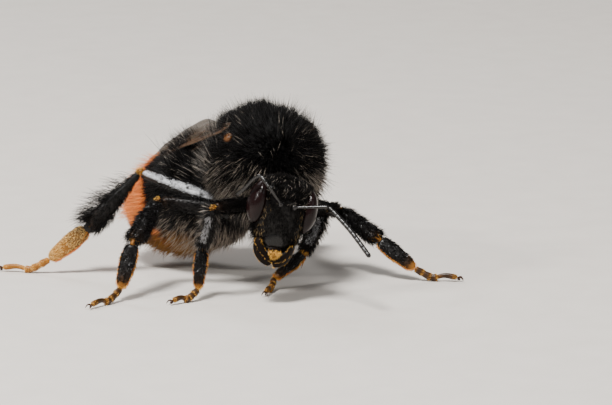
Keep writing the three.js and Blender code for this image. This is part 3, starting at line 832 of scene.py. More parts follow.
# The way half-way between the camera and the key lamp, where the hind femur gets its painted highlight.
PAINTED_GLEAM_WAY = np.array([-0.437, -0.673, 0.596])
no_marks = np.zeros(len(trunk_vertices))
skin_parts = [(trunk_vertices, trunk_faces)]
marks = {"tail": [trunk_tail], "honey": [no_marks], "painted_gleam": [no_marks]}
for (pair, side_name), forms in legs.items():
    for part_name, (form, honey_start, honey_end) in forms.items():
        vertices, faces = form.mesh(*LEG_MESH.get(part_name, SMALL_MESH))
        skin_parts.append((vertices, faces))
        marks["tail"].append(np.zeros(len(vertices)))
        share, _ = share_along(form, vertices)
        honey = honey_start + (honey_end - honey_start) * share ** (1.5 if honey_start else 10)
        if part_name.startswith("tarsal"):
            honey = honey * ((0.6 if pair == "hind" else 0.06) + 0.4 * np.abs(2 * share - 1) ** 2)
        marks["honey"].append(honey)
        # The hind femora's painted highlight: how far the skin faces the way half-way to camera and key
        # lamp.
        outward = unit(vertices - form.centre(share))
        toward = outward @ (PAINTED_GLEAM_WAY * [-SIDES[side_name], 1, 1])
        gleam = np.clip((toward - 0.5 - 0.3 * share) / 0.2, 0, 1)
        marks["painted_gleam"].append(gleam * (pair == "hind" and part_name == "femur"))
skin_vertices, skin_faces = joined(skin_parts)
FLESH = ["head", "thorax", *(f"abdomen_{n}" for n in range(1, 7))]
LEG_NODES = ("femur", "tibia", "basitarsus", "tarsus")
FLESH += [f"leg_{pair}_{side}_{part}" for pair, side in STANCE for part in LEG_NODES]
piece("bee_skin", skin_vertices, skin_faces, SHELL, "shell", FLESH,
      {name: np.concatenate(values) for name, values in marks.items()})
print("skin faces:", len(skin_faces))

# %% [markdown]
# A foot ends in two hooked claws with a soft pad between them. Each is a tiny form whose line bends
# down to the floor.

# %% Claws
CLAW_SPREAD = 26
claw_parts = []
for pair, side_name in legs:
    ball, toe = leg_line(pair, side_name)[-2:]
    ahead = unit((toe - ball) * [1, 1, 0])
    for spread in (-CLAW_SPREAD, CLAW_SPREAD):
        c, s = math.cos(math.radians(spread)), math.sin(math.radians(spread))
        way = np.array([c * ahead[0] - s * ahead[1], s * ahead[0] + c * ahead[1], 0])
        line = [toe - ahead * 0.05 + way * 0.05 + UP * 0.02, toe + way * 0.28 + UP * 0.1,
                toe + way * 0.5 - UP * 0.13]
        claw = Form(line, [0, 0.5, 1], [0.075, 0.055, 0.018], [0.065, 0.05, 0.015], ends=(0.1, 0.1))
        claw_parts.append(claw.mesh(12, 8))
    line = [toe - UP * 0.02, toe + ahead * 0.22 - UP * 0.1]
    claw_parts.append(Form(line, [0, 1], [0.09, 0.1], [0.06, 0.05]).mesh(8, 8))
piece("claws", *joined(claw_parts), CLAW_SHELL, "foot")
print("claws and pads:", len(claw_parts))

# %% [markdown]
# ## The head's hard parts
#
# The compound eyes bulge from the sides of the head, three simple eyes sit on the crown, the
# clypeus is the domed plate above the mouth, and the jaws fold over one another below it.

# %% Eyes, clypeus and lip
DOME_ROWS, DOME_COLUMNS = 40, 36


def dome(middle, half, shape):
    """A rounded dome in head coordinates, with its outline bent by a function."""
    ones = [1, 1, 1]
    form = Form([[0, -1, 0], [0, 1, 0]], [0, 0.5, 1], ones, ones, ends=(0.5, 0.5), axis=[1, 0, 0])
    vertices, faces = form.mesh(DOME_ROWS, DOME_COLUMNS)
    return on_head(shape(vertices) * half + middle), faces


def kidney(side):
    """The eye is longer than broad and a little hollow on its inner edge."""
    def shape(v):
        v = v.copy()
        v[:, 0] *= 1 - 0.1 * v[:, 1]
        v[:, 0] += side * 0.16 * (1 - v[:, 1] ** 2) - side * 0.08
        return v
    return shape


for side_name, side in SIDES.items():
    eye = dome([1.8 * side, 0.8, -0.03], [0.68, 1.58, 1.08], kidney(side))
    piece(f"eye_{side_name}_dome", *eye, EYE, "eye", [f"eye_{side_name}"])

BEAD = [0.13, 0.13]
simple_eyes = []
for share, turn in ((0.075, 62), (0.105, 90), (0.075, 118)):
    seat = head_form.places(np.array([share]), np.array([math.radians(turn)])).point[0]
    line = [seat - FORWARD * 0.2, seat + FORWARD * 0.1 + CROWNWARD * 0.16]
    simple_eyes.append(Form(line, [0, 1], BEAD, BEAD, (0.4, 0.5)).mesh(14, 14))
piece("simple_eyes", *joined(simple_eyes), EYE, "eye")


def shield(v):
    """The clypeus: narrow above, broad below, with a straight lower edge."""
    v = v.copy()
    v[:, 0] *= 1.0 - 0.14 * v[:, 1]
    v[:, 1] = np.sign(v[:, 1]) * np.abs(v[:, 1]) ** 0.8
    return v


piece("clypeus_plate", *dome([-0.12, -1.34, 0.42], [0.95, 0.92, 0.66], shield), FACE_SHELL, "jaw",
      ["clypeus"])
lip = Form(on_head([[0, -1.95, 0.85], [0, -2.4, 1.0], [0, -2.8, 0.98]]), [0, 0.5, 1],
           [0.52, 0.42, 0.16], [0.16, 0.18, 0.1], ends=(0.2, 0.2), axis=LEFTWARD)
piece("lip_plate", *lip.mesh(24, 24), JAW_SHELL, "jaw")
print("eyes, clypeus and lip ready")

# %% [markdown]
# The jaws of a bee are two curved blades that meet below the lip. Each follows a bend that is drawn
# by a start, an end and one point that pulls it sideways, and thins towards its edge.

# %% Jaws
jaws = {}
for side_name, side in SIDES.items():
    start = np.array([1.22 * side, -1.62, 0.35])
    through = np.array([1.2 * side, -2.85, 0.85])
    end = np.array([-0.02 * side, -3.08, 1.0 + 0.06 * side])
    steps = np.linspace(0, 1, 6)[:, None]
    bend = (1 - steps) ** 2 * start + 2 * steps * (1 - steps) * through + steps * steps * end
    jaw = Form(on_head(bend), [0, 0.2, 0.6, 0.9, 1], [0.42, 0.43, 0.42, 0.36, 0.26],
               [0.3, 0.27, 0.18, 0.1, 0.07], ends=(0.12, 0.08), axis=CROWNWARD)
    piece(f"jaw_{side_name}", *jaw.mesh(34, 24), JAW_SHELL, "jaw", [f"mandible_{side_name}"])
    jaws[side_name] = jaw
print("jaws:", len(jaws))

# %% [markdown]
# ## Feelers
#
# Each feeler has a long scape, an elbow, and a whip of eleven short joints with a groove between
# them. The whip could be eleven pieces, but one form whose size dips at each joint bends more
# evenly and has no gaps.

# %% Feelers from their joints
# Socket, elbow, and the points that the whip follows from there, in head coordinates.
FEELERS = {
    "right": ([-0.4, 1.05, 1.1], [-1.82, 2.24, 2.0],
              [[-2.5, 2.73, 1.22], [-2.95, 1.49, -0.04], [-3.2, 0.79, -0.82]]),
    "left": ([0.4, 1.05, 1.1], [2.7, 1.77, 2.06], [[4.2, 0.67, 3.58], [5.58, -0.62, 5.15]]),
}
WHIP_JOINTS, FIRST_JOINT = 11, 0.12
WHIP_HALF = {"right": 0.135, "left": 0.178}
for side_name, (socket, elbow, tips) in FEELERS.items():
    socket, elbow = on_head(socket), on_head(elbow)
    scape = Form(between(socket, elbow, 0, 0.5, 0.985), [0, 0.06, 0.14, 0.8, 1],
                 [0.18, 0.23, 0.09, 0.115, 0.1], [0.18, 0.23, 0.09, 0.11, 0.1], ends=(0.04, 0.05))
    knots, sizes = [], []
    for joint in range(WHIP_JOINTS):
        size = FIRST_JOINT if joint == 0 else WHIP_HALF[side_name] - 0.001 * joint
        knots += [joint / WHIP_JOINTS + 0.004, (joint + 0.2) / WHIP_JOINTS,
                  (joint + 0.8) / WHIP_JOINTS, (joint + 1) / WHIP_JOINTS - 0.004]
        sizes += [size * 0.9, size, size * 1.01, size * 0.94]
    whip = Form([elbow, *on_head(tips)], knots, sizes, sizes, ends=(0.02, 0.05))
    piece(f"feeler_{side_name}_scape", *scape.mesh(34, 16), FEELER_SHELL, "shell",
          [f"antenna_{side_name}_scape"])
    piece(f"feeler_{side_name}_whip", *whip.mesh(150, 14), FEELER_SHELL, "shell",
          [f"antenna_{side_name}_flagellum"])
    print(side_name, "feeler:", round(scape.length + whip.length, 2), "mm")

# %% [markdown]
# ## Wings
#
# The two wings of a side lie folded over the abdomen, the small one under the large one. A wing is a
# film of a few hundredths of a millimetre, stretched between veins and pleated along them. The film
# is a grid between the leading and the trailing edge, and each vein is a flat tapering tube on it.

# %% The wings' planes and edges
WING_LENGTH, WING_ROOT = 15.2, [3.15, -0.3, 11.75]
WING_YAW, WING_DROOP, WING_ROLL = -3, 17.5, 38
# Share of the forewing's length, then how far back and how far down the wing is set.
WING_KINDS = {"forewing": (1.0, 0.0, 0.0), "hindwing": (0.68, 0.9, 0.56)}
# Shares of the length, then how far the edge lies across the wing there.
LEADING = ([0, 0.2, 0.45, 0.75, 0.9, 0.965, 1], [-0.12, -0.155, -0.172, -0.165, -0.135, -0.04, 0.15])
TRAILING = ([0, 0.3, 0.6, 0.8, 0.94, 0.985, 1], [0.12, 0.42, 0.74, 0.74, 0.48, 0.28, 0.15])
# Where each pleat lies across the wing, and its height.
PLEATS = [(-0.1, 0.06), (0.02, -0.05), (0.14, 0.05), (0.3, -0.05), (0.45, 0.04), (0.62, -0.03)]


def wing_points(side, kind, x, y, lift=0.0):
    """Points of a wing: x from root to tip and y across, both as shares, lifted off the film."""
    share, set_back, drop = WING_KINDS[kind]
    along = heading(side, 90 + WING_YAW, -WING_DROOP)
    inward = unit(np.array([-side, 0, 0]) + along * along[0] * side)
    turn = math.radians(side * WING_ROLL)
    inward = inward * math.cos(turn) + np.cross(along, inward) * math.sin(turn)
    normal = np.cross(along, inward)
    over = normal * np.sign(normal[2])
    root = np.array(WING_ROOT) * [side, 1, 1] + along * set_back - over * drop
    length = WING_LENGTH * share
    x, y, lift = (np.asarray(v, float) for v in np.broadcast_arrays(x, y, lift))
    pleat = sum(depth * np.exp(-(((y - place) / 0.05) ** 2)) for place, depth in PLEATS)
    wave = 0.1 * np.sin(x * 7 + y * 4) * x + 0.04 * np.sin(x * 23 + y * 9) * x
    height = pleat + wave + lift - 0.4 * x**2 - 0.45 * np.maximum(y, 0) ** 2
    height = height - 2.0 * np.maximum(x - 0.55, 0) ** 2
    here = root + along * (x * length)[..., None] + inward * (y * length / 3.5)[..., None]
    return here + over * height[..., None]


# The width of each vein in millimetres and the places it runs through.
VEINS = {
    "forewing": [
        (0.13, [(0, -0.1), (0.2, -0.14), (0.45, -0.155), (0.6, -0.15), (0.75, -0.15), (0.9, -0.12)]),
        (0.12, [(0, -0.03), (0.2, -0.085), (0.42, -0.11), (0.58, -0.12)]),
        (0.16, [(0.54, -0.13), (0.62, -0.12)]),
        (0.09, [(0.61, -0.11), (0.7, 0.0), (0.8, 0.03), (0.88, -0.04), (0.91, -0.12)]),
        (0.11, [(0, 0.03), (0.15, 0.06), (0.3, 0.12), (0.42, 0.21), (0.55, 0.3), (0.68, 0.36)]),
        (0.09, [(0.3, 0.12), (0.35, 0.0), (0.42, -0.1)]),
        (0.08, [(0.36, 0.0), (0.46, 0.08), (0.57, 0.14), (0.7, 0.17), (0.82, 0.15)]),
        (0.08, [(0.51, -0.11), (0.52, 0.11)]),
        (0.08, [(0.63, -0.08), (0.6, 0.05), (0.61, 0.155)]),
        (0.08, [(0.73, 0.015), (0.75, 0.1), (0.73, 0.17)]),
        (0.08, [(0.55, 0.135), (0.56, 0.22), (0.54, 0.295)]),
        (0.08, [(0.68, 0.165), (0.7, 0.26), (0.67, 0.355)]),
        (0.09, [(0, 0.08), (0.15, 0.2), (0.3, 0.32), (0.42, 0.44)]),
        (0.08, [(0.31, 0.125), (0.3, 0.32)]),
    ],
    "hindwing": [
        (0.12, [(0, -0.09), (0.3, -0.13), (0.6, -0.14), (0.85, -0.12)]),
        (0.1, [(0, 0.02), (0.25, 0.05), (0.5, 0.08), (0.75, 0.12)]),
        (0.08, [(0.45, -0.13), (0.5, 0.08)]),
        (0.08, [(0, 0.08), (0.2, 0.22), (0.4, 0.36)]),
    ],
}
print("wing planes ready, veins:", sum(len(v) for v in VEINS.values()))

# %% Wing films and veins
FILM = 0.025
FILM_ROWS, FILM_COLUMNS = 70, 44


def film(side, kind):
    """A closed sheet of wing, and how smoky it is at each of its points."""
    rows, columns = FILM_ROWS, FILM_COLUMNS
    x = (0.5 - 0.5 * np.cos(np.linspace(0, math.pi, rows)))[:, None] * np.ones(columns)
    across = np.linspace(0, 1, columns)[None, :]
    leading, trailing = smooth(*LEADING, x), smooth(*TRAILING, x)
    y = leading + (trailing - leading) * across
    top = wing_points(side, kind, x, y, FILM).reshape(-1, 3)
    bottom = wing_points(side, kind, x, y, -FILM).reshape(-1, 3)
    row, column = np.meshgrid(np.arange(rows - 1), np.arange(columns - 1), indexing="ij")
    a = (row * columns + column).ravel()
    upper = np.stack([a, a + 1, a + columns + 1, a + columns], axis=-1)
    lower = upper[:, ::-1] + rows * columns
    edge = [*range(columns), *range(2 * columns - 1, rows * columns, columns)]
    edge += [*range(rows * columns - 2, (rows - 1) * columns - 1, -1)]
    edge += [*range((rows - 2) * columns, 0, -columns)]
    ring = np.array(edge)
    following = np.roll(ring, -1)
    rim = np.stack([following, ring, ring + rows * columns, following + rows * columns], axis=-1)
    smoke = np.clip(0.25 + 0.6 * x**2 - 0.3 * across * (1 - x), 0, 1).ravel()
    return np.vstack([top, bottom]), [*upper.tolist(), *lower.tolist(), *rim.tolist()], np.tile(smoke, 2)


def vein(side, kind, width, route):
    """A flat tapering tube that runs through places on the wing."""
    steps, fine = np.linspace(0, 1, len(route)), np.linspace(0, 1, 5 * len(route))
    x, y = (smooth(steps, values, fine) for values in zip(*route))
    sizes = [width * 0.5, width * 0.5 * 0.7]
    form = Form(wing_points(side, kind, x, y, 0.02), [0, 1], sizes, sizes, ends=(0.03, 0.03))
    return form.mesh(4 * len(route), 8)


for side_name, side in SIDES.items():
    for kind in WING_KINDS:
        vertices, faces, smoke = film(side, kind)
        piece(f"{kind}_{side_name}_film", vertices, faces, WING_FILM, "wing", [f"{kind}_{side_name}"],
              {"smoke": smoke})
        veins = joined([vein(side, kind, width, route) for width, route in VEINS[kind]])
        piece(f"{kind}_{side_name}_veins", *veins, WING_VEIN, "wing")
        print(kind, side_name, "has", len(VEINS[kind]), "veins")

# %% [markdown]
# A small honey-brown scale covers the root of each forewing, like the cap on a hinge. It is a short
# domed form that leans on the thorax.

# %% Wing-root scales
scales = []
for side_name, side in SIDES.items():
    middle = np.array([3.18 * side, -0.55, 11.15])
    scale = Form([middle - [0, 0.5, 0.02], middle + [0, 0.52, -0.08]], [0, 0.4, 1], [0.34, 0.38, 0.28],
                 [0.26, 0.3, 0.22], ends=(0.42, 0.5), axis=[0.7 * side, 0, -0.7])
    scales.append(scale)
    piece(f"tegula_{side_name}_scale", *scale.mesh(30, 28), HONEY_SHELL, "tegula", [f"tegula_{side_name}"])
print("wing-root scales:", len(scales))

# %% [markdown]
# ## The coat
#
# The pile stands almost upright on the thorax, where it makes a round black velvet ball, and lies
# back along the abdomen, whose last plates are red. It is short on the face and feet. Every coat
# grows on the forms: a share says how thick it is at each place, and a lie which way it leans.

# %% Shares of hairs
BACK = np.array([0.0, 1.0, 0.0])
DOWN = np.array([0.0, 0.0, -1.0])
INSIDE = 0.93


def clear_of(*forms):
    """A share of hairs that leaves out what lies inside the neighbouring forms."""
    def share(at):
        free = np.ones(len(at.point))
        for form in forms:
            free *= share_along(form, at.point)[1] > INSIDE
        return free
    return share


def facing(way, least):
    """A share of hairs only where the form faces this way."""
    way = unit(np.array(way))
    return lambda at: at.out @ way > least


def edges(power):
    """More hairs towards the two edges of a flat tube."""
    return lambda at: np.abs(np.cos(at.turn)) ** power


def longer(first, more):
    """A length that grows, or shrinks, along the form."""
    return lambda at: first + more * at.s


print("shares ready")

# %% [markdown]
# ## The thorax's pile
#
# One even pile would look like a clipped hedge. So longer guard hairs stand out of it, plumes rise
# beside the roots of the wings, and grey hairs on the flanks, on the top and along one edge are painted
# glints.

# %% The thorax's pile
open_thorax = clear_of(abdomen_form, head_form, neck_form)
beside_the_wing = unit(np.array([0.85, 0.5, 0.1]))


def open_top(at):
    return clear_of(abdomen_form)(at) * (at.out[:, 2] > 0.3)


def flanks(at):
    return open_thorax(at) * np.clip(0.35 - at.out[:, 2], 0, 0.5)


def below_the_wing_root(at):
    """Where the long hairs stand that hide the wing's root from the side."""
    way = np.stack([np.abs(at.out[:, 0]), at.out[:, 1], at.out[:, 2]], axis=1) @ beside_the_wing
    return (way > 0.8) * (at.out[:, 2] < 0.45) * (at.point[:, 1] > 0.3)


def plume(count, width):
    """Long hairs that rise beside the wing."""
    return grow(thorax_form, count, below_the_wing_root, 2.3, 0.55, UP + BACK * 0.35, width=width,
                loose=0.2, tufts=0.4, uneven=0.25)


roots = thorax_form.roots(35000, open_thorax)
high = np.clip(roots.out[:, 2], -1, 1)
length = 1.42 - 0.05 * (1 - high) - 0.35 * np.clip(roots.out[:, 1], 0, 1)
pile = hairs(roots, length, 0.84 + 0.1 * high, BACK * 0.7 + DOWN * (1.1 - high)[:, None], width=0.045,
             loose=0.16, tufts=0.42, size=0.55, uneven=0.2)
guard = grow(thorax_form, 2600, open_thorax, 2.0, 0.9,
             lambda at: BACK * 0.8 + DOWN * (1 - at.out[:, 2])[:, None],
             width=0.036, loose=0.22, bend=0.25)
coat("coat_thorax", [pile], DEEP_HAIR)

# %% Painted glints and long hairs on the thorax
# Painted glints: grey hairs beside the wing, on the top and on the flanks.
glints = plume(420, 0.034)
scale_pile = [grow(scale, 150, None, 0.75, 0.6, BACK + UP * 0.5, width=0.038, loose=0.25)
              for scale in scales]
top_glints = grow(thorax_form, 110, open_top, 1.4, 0.9, BACK, width=0.032, loose=0.25)
flank_glints = grow(thorax_form, 4800, flanks, 1.7, 0.72, BACK * 0.7 + DOWN, width=0.034, loose=0.16,
                   tufts=0.3)
# Painted highlight: grey hairs only along the edge that faces the camera's right.
edge_roots = thorax_form.roots(620, facing([0.9, -0.3, 0.1], 0.5))
breast = grow(thorax_form, 500, facing([-0.7, -0.5, -0.5], 0.6), 1.7, 0.7, BACK * 0.5 + DOWN,
              width=0.034, loose=0.2, tufts=0.3)
lit_edge = hairs(edge_roots, 1.5, 0.6, DOWN + BACK * 0.4, width=0.034, loose=0.2, tufts=0.3)
long_plume = plume(2600, 0.045)
coat("coat_thorax_long", [guard, long_plume, *scale_pile], BLACK_HAIR)
coat("coat_flanks", [flank_glints, glints, top_glints, lit_edge], GREY_HAIR)

# %% [markdown]
# ## The abdomen's pile
#
# The abdomen's hairs lean back over its plates like thatch: black in front, orange-red behind, rusty
# below. The border is ragged, so each hair's colour is drawn with a little chance. Long hairs stand
# like shoulders behind the thorax and as a crest beside the wings, and a fringe hangs below, pale as
# painted light in the shade under the body.

# %% The abdomen's pile
def on_back(at):
    """Thick on the back and sides, thin on the belly."""
    return clear_of(thorax_form, waist_form)(at) * np.where(at.out[:, 2] > -0.45, 1, 0.35)


roots = abdomen_form.roots(35000, on_back)
red_edge = RED_FROM + RED_SLANT * np.maximum(roots.out[:, 2], 0)
red = roots.s + random.normal(size=len(roots.s)) * 0.012 > red_edge
front_plate = np.clip((0.24 - roots.s) / 0.12, 0, 1)
length = 0.85 + 0.5 * front_plate - 0.12 * (roots.out[:, 2] < 0)
pile = hairs(roots, length, 0.42 + 0.4 * front_plate, roots.along + DOWN * 0.25, width=0.042,
             loose=0.13, tufts=0.2)
belly = (roots.out[:, 2] + random.normal(size=len(red)) * 0.08 < -0.45) & (roots.s > 0.42)
long_red = grow(abdomen_form, 1300, lambda at: (at.s > RED_FROM + 0.04) * (at.out[:, 2] > -0.2),
                1.4, 0.72, width=0.03, loose=0.2)
long_belly = grow(abdomen_form, 700, lambda at: (at.s > 0.5) * (at.s < 0.85) * (at.out[:, 2] < -0.5),
                  1.25, 0.6, lambda at: at.along + DOWN, width=0.036, loose=0.18, tufts=0.3)
coat("coat_abdomen_black", [only(pile, ~red & ~belly)], BLACK_HAIR)
coat("coat_abdomen_red", [only(pile, red & ~belly), long_red], RED_HAIR)
coat("coat_belly", [only(pile, belly), long_belly], RUST_HAIR)

# %% Shoulders, crest and fringe
CREST_OUT = 0.8


def on_shoulders(at):
    """The front plates' back and sides, thickest at the sides."""
    behind = (at.s < 0.42) * (at.s > 0.06) * np.clip(at.out[:, 2] + 0.5, 0, 1)
    return behind * np.clip(0.3 + np.abs(at.out[:, 0]), 0, 1) * clear_of(thorax_form)(at)


def on_crest(at):
    """A strip just outside the folded wings."""
    strip = (np.abs(at.out[:, 0]) > 0.68) * (at.out[:, 2] > 0.25) * (at.out[:, 2] < 0.62)
    return (at.s < 0.36) * (at.s > 0.06) * strip * clear_of(thorax_form)(at)


def on_underside(at):
    return (at.s < 0.6) * (at.s > 0.05) * np.clip(0.3 - at.out[:, 2], 0, 1)


shoulder = grow(abdomen_form, 5200, on_shoulders, longer(2.6, -2.4), 0.86,
                lambda at: at.along * 0.8 + UP * 0.6, width=0.042, loose=0.2, tufts=0.34)
roots = abdomen_form.roots(1500, on_crest)
roots.point = roots.point + roots.out * CREST_OUT
crest = hairs(roots, 3.3, 0.56, UP + roots.along * 0.15, width=0.045, loose=0.2, tufts=0.4, uneven=0.25)
# Painted glints: one shoulder hair in 25 is grey.
lit = random.random(len(shoulder["shade"])) < 0.04
# The fringe and the breast hairs are pale as painted light in the shade under the body.
fringe = grow(abdomen_form, 1900, on_underside, 1.1, 0.5, lambda at: at.along + DOWN * 0.6,
              width=0.034, loose=0.16, tufts=0.3)
coat("coat_shoulders", [only(shoulder, ~lit), crest], DEEP_HAIR)
coat("coat_shoulders_glints", [only(shoulder, lit)], GREY_HAIR)
coat("coat_belly_fringe", [fringe, breast], ASH_HAIR)

# %% [markdown]
# ## The head's pile
#
# The face has a short dense pile that lies down on the cheeks and stands up on the crown. The bare
# clypeus, the eyes and the simple eyes come through it. Painted glints, a few straw hairs by the eyes
# and grey hairs on the crown, keep the black from looking flat, and a beard hangs behind the jaws.

# %% Where hairs stand on the head
def on_face(at):
    """Thick on the crown and the back of the head, thinner below, none under the eyes."""
    x, y, z = from_head(at.point)
    eye = ((np.abs(x) - 1.85) / 0.8) ** 2 + ((y - 0.8) / 1.62) ** 2 + ((z + 0.05) / 1.2) ** 2
    plate = (z > 0.55) & (((x + 0.24) / 0.55) ** 2 + ((y + 1.3) / 0.45) ** 2 < 1)
    crown_eyes = (np.abs(x) < 0.75) & (y > 2.2) & (z > 0.2)
    share = np.where(y > 1.2, 1.0, 0.6)
    share = np.where(plate, 0.05, np.where(crown_eyes, 0.25, share))
    return share * ~(eye < 0.8) * (share_along(neck_form, at.point)[1] > 1)


def above(height):
    """The face's pile above a height."""
    return lambda at: (from_head(at.point)[1] > height) * on_face(at)


def beside_the_eyes(at):
    """Along the inner and outer margins of the eyes, and on the cheeks beside the jaws."""
    x, y, z = from_head(at.point)
    inner = (np.abs(np.abs(x) - 1.3) < 0.16) & (y < 1.5) & (z > 0.3)
    outer = (np.abs(x) > 1.2) & (z < 0.2)
    cheek = (np.abs(x) > 0.95) & (y < -0.8)
    return (inner * 0.9 + outer * 0.35 + cheek * 0.6) * on_face(at)


def behind_the_jaws(at):
    x, y, z = from_head(at.point)
    return (np.abs(x) > 0.7) * (y < -0.3) * (z < 0.25) * (share_along(neck_form, at.point)[1] > 1)


# %% The head's pile
roots = head_form.roots(13200, on_face)
x, y, z = from_head(roots.point)
upper = np.clip((y - 0.9) / 0.8, 0, 1)
length = 0.3 + 0.06 * upper + 0.12 * (z < 0.2)
pile = hairs(roots, length, 0.62 + 0.32 * upper, FORWARD * 0.5 + CROWNWARD * (2 * upper - 1)[:, None],
             width=0.034, loose=0.22, tufts=0.35, size=0.4, uneven=0.25)
crown = grow(head_form, 1600, above(2.0), 0.55, 0.85, CROWNWARD, width=0.034, loose=0.3, tufts=0.35,
             size=0.4)
# Painted glints: straw hairs by the eyes and on the cheeks.
cheeks = grow(head_form, 420, beside_the_eyes, 0.34, 0.6, FORWARD * 0.3 - CROWNWARD, width=0.026,
              loose=0.35)
# Painted glints: short grey hairs on the upper face and crown.
sparks = grow(head_form, 210, above(0.9), 0.5, 0.85, FORWARD * 0.5 + CROWNWARD, width=0.026, loose=0.35)
beard = grow(head_form, 700, behind_the_jaws, 0.85, 0.75, DOWN, width=0.034, loose=0.25, tufts=0.3,
             size=0.5)
coat("coat_head", [pile, crown], VELVET_HAIR)
coat("coat_beard", [beard], VELVET_HAIR)
coat("coat_cheeks", [cheeks], STRAW_HAIR)
coat("coat_crown_glints", [sparks], GREY_HAIR)

# %% [markdown]
# ## The legs' pile
#
# The legs are bristly and mostly black, with gold tufts at the joints and golden feet. The hind
# tibia is a basket: a bare shining face between long fringes, where the bee packs pollen. Each line
# below says the colour, the tube, how many hairs, where on it, their length and their lift.

# %% The thighs' pile
LEG_COATS = {
    "black": (BLACK_HAIR, "coat_black"),
    "deep": (DEEP_HAIR, "coat_black"),
    "gold": (GOLD_HAIR, "foot"),
    "pale": (PALE_GOLD_HAIR, "foot"),
    "grey": (GREY_HAIR, "coat_black"),
    "rust": (RED_HAIR, "foot"),
    "glint": (GLINT_HAIR, "coat_black"),
}
leg_coats = {colour: [] for colour in LEG_COATS}
BRISTLES = {"width": 0.038, "size": 0.5, "uneven": 0.25}
SHORT_HAIRS = {"width": 0.034, "size": 0.4}


def adder(forms):
    """A helper that grows hairs on a named tube of one leg and keeps them with their colour."""
    def add(colour, part, count, share, length, lift, **look):
        leg_coats[colour].append(grow(forms[part][0], count, share, length, lift, **look))
    return add


def dress_thigh(add, pair, side):
    """Short bristles, and on the hind femora a painted highlight: bare pale skin under pale hairs."""
    hind = pair == "hind"
    gleam = PAINTED_GLEAM_WAY * [-side, 1, 1]

    def off_the_gleam(at):
        return np.where((at.out @ gleam > 0.5) & hind, 0.0, 1.0) * (at.s > 0.06)

    def on_the_gleam(at):
        return (at.out @ gleam > 0.66 + 0.26 * at.s) * (at.s > 0.1) * (at.s < 0.93)

    count = 1900 if pair == "middle" else 1300
    add("black" if hind else "deep", "femur", count, off_the_gleam, 0.4, 0.7, **BRISTLES)
    add("black", "coxa", 220, None, 0.7, 0.5, lie=DOWN, width=0.04, loose=0.2, size=0.6)
    if hind:
        # Painted highlight: pale hairs only where the hind femur faces half-way to camera and key lamp.
        add("glint", "femur", 800, on_the_gleam, 0.22, 0.3, width=0.036, loose=0.35)


# %% The shins' pile
def dress_hind_shin(add, side):
    """Fringes round the basket, and a broad basitarsus of pale gold."""
    basket = facing([side * 0.55, 0.8, 0.2], 0.5)

    def bare_spot(at):
        return (at.s > 0.6) & (at.s < 0.8) & (np.cos(at.turn) > 0.3)

    def off_the_basket(at):
        return np.where(basket(at), 0.1, np.where(bare_spot(at), 0.03, 1))

    add("black", "tibia", 2600, off_the_basket, longer(0.2, 0.3), 0.55, **BRISTLES)
    add("black", "tibia", 700, lambda at: edges(9)(at) * ~bare_spot(at), longer(0.25, 0.75), 0.78,
        width=0.036, bend=0.5, size=0.6)
    add("black", "tibia", 420, lambda at: edges(3)(at) * (at.out[:, 2] > 0) * at.s, 1.7, 0.85,
        width=0.028, loose=0.18, bend=0.5, size=0.6)
    add("pale", "basitarsus", 2500, None, 0.24, 0.35, width=0.036, loose=0.1, tufts=0.15)
    add("black", "basitarsus", 700, lambda at: np.clip(0.55 - at.s, 0, 1) * (at.out[:, 2] > -0.3),
        0.28, 0.35, width=0.034, loose=0.1)
    add("rust", "basitarsus", 450, lambda at: np.cos(at.turn) < -0.85, 0.3, 0.5, width=0.034, loose=0.1)


def dress_shin(add, front):
    """Bristles on the tibia, and gold along the edges and the sole of the basitarsus."""
    # Painted highlight of the front tibiae: where they face about half-way between camera and key lamp.
    def gleam(at):
        return (at.out @ (PAINTED_GLEAM_WAY * [1, 1, 0.3]) > 0.62) * (at.s > 0.12) * (at.s < 0.8)

    def off_the_gleam(at):
        return np.where(gleam(at) & front, 0.2, 1.0)

    def lower_edges(at):
        return edges(24)(at) * (at.out[:, 2] < 0.3)

    def sole(at):
        return np.clip(-at.out[:, 2] - 0.1 + 0.8 * (at.s - 0.6), 0, 1)

    fringe_length = longer(1.0, -0.5) if front else 0.64
    add("black", "tibia", 2900, off_the_gleam, 0.45, 0.7, tufts=0.34, **BRISTLES)
    add("black", "tibia", 460, edges(6), fringe_length, 0.78, width=0.034, size=0.5)
    # Painted glints: a few pale hairs at random on the tibia.
    add("glint", "tibia", 80, None, 0.36, 0.65, width=0.026, size=0.5)
    add("black", "basitarsus", 1700, lambda at: at.s < 0.86, 0.26, 0.75, width=0.036, size=0.4, tufts=0.3)
    add("gold", "basitarsus", 230, lower_edges, 0.28, 0.7, **SHORT_HAIRS)
    add("rust", "basitarsus", 200, lower_edges, 0.28, 0.7, **SHORT_HAIRS)
    add("gold", "basitarsus", 520, sole, 0.24, 0.5, **SHORT_HAIRS)
    # Painted glints on the basitarsus.
    add("glint", "basitarsus", 70, lambda at: at.s < 0.7, 0.26, 0.5, width=0.026, size=0.4)
    if front:
        # Painted highlight: pale hairs there, with the black bristles thinned out.
        add("glint", "tibia", 320, gleam, 0.34, 0.55, width=0.034, loose=0.3)
        add("grey", "tibia", 160, edges(6), fringe_length, 0.75, width=0.032, size=0.5, loose=0.2)


# %% The joints' and feet's pile
TARSALS = range(2, 6)


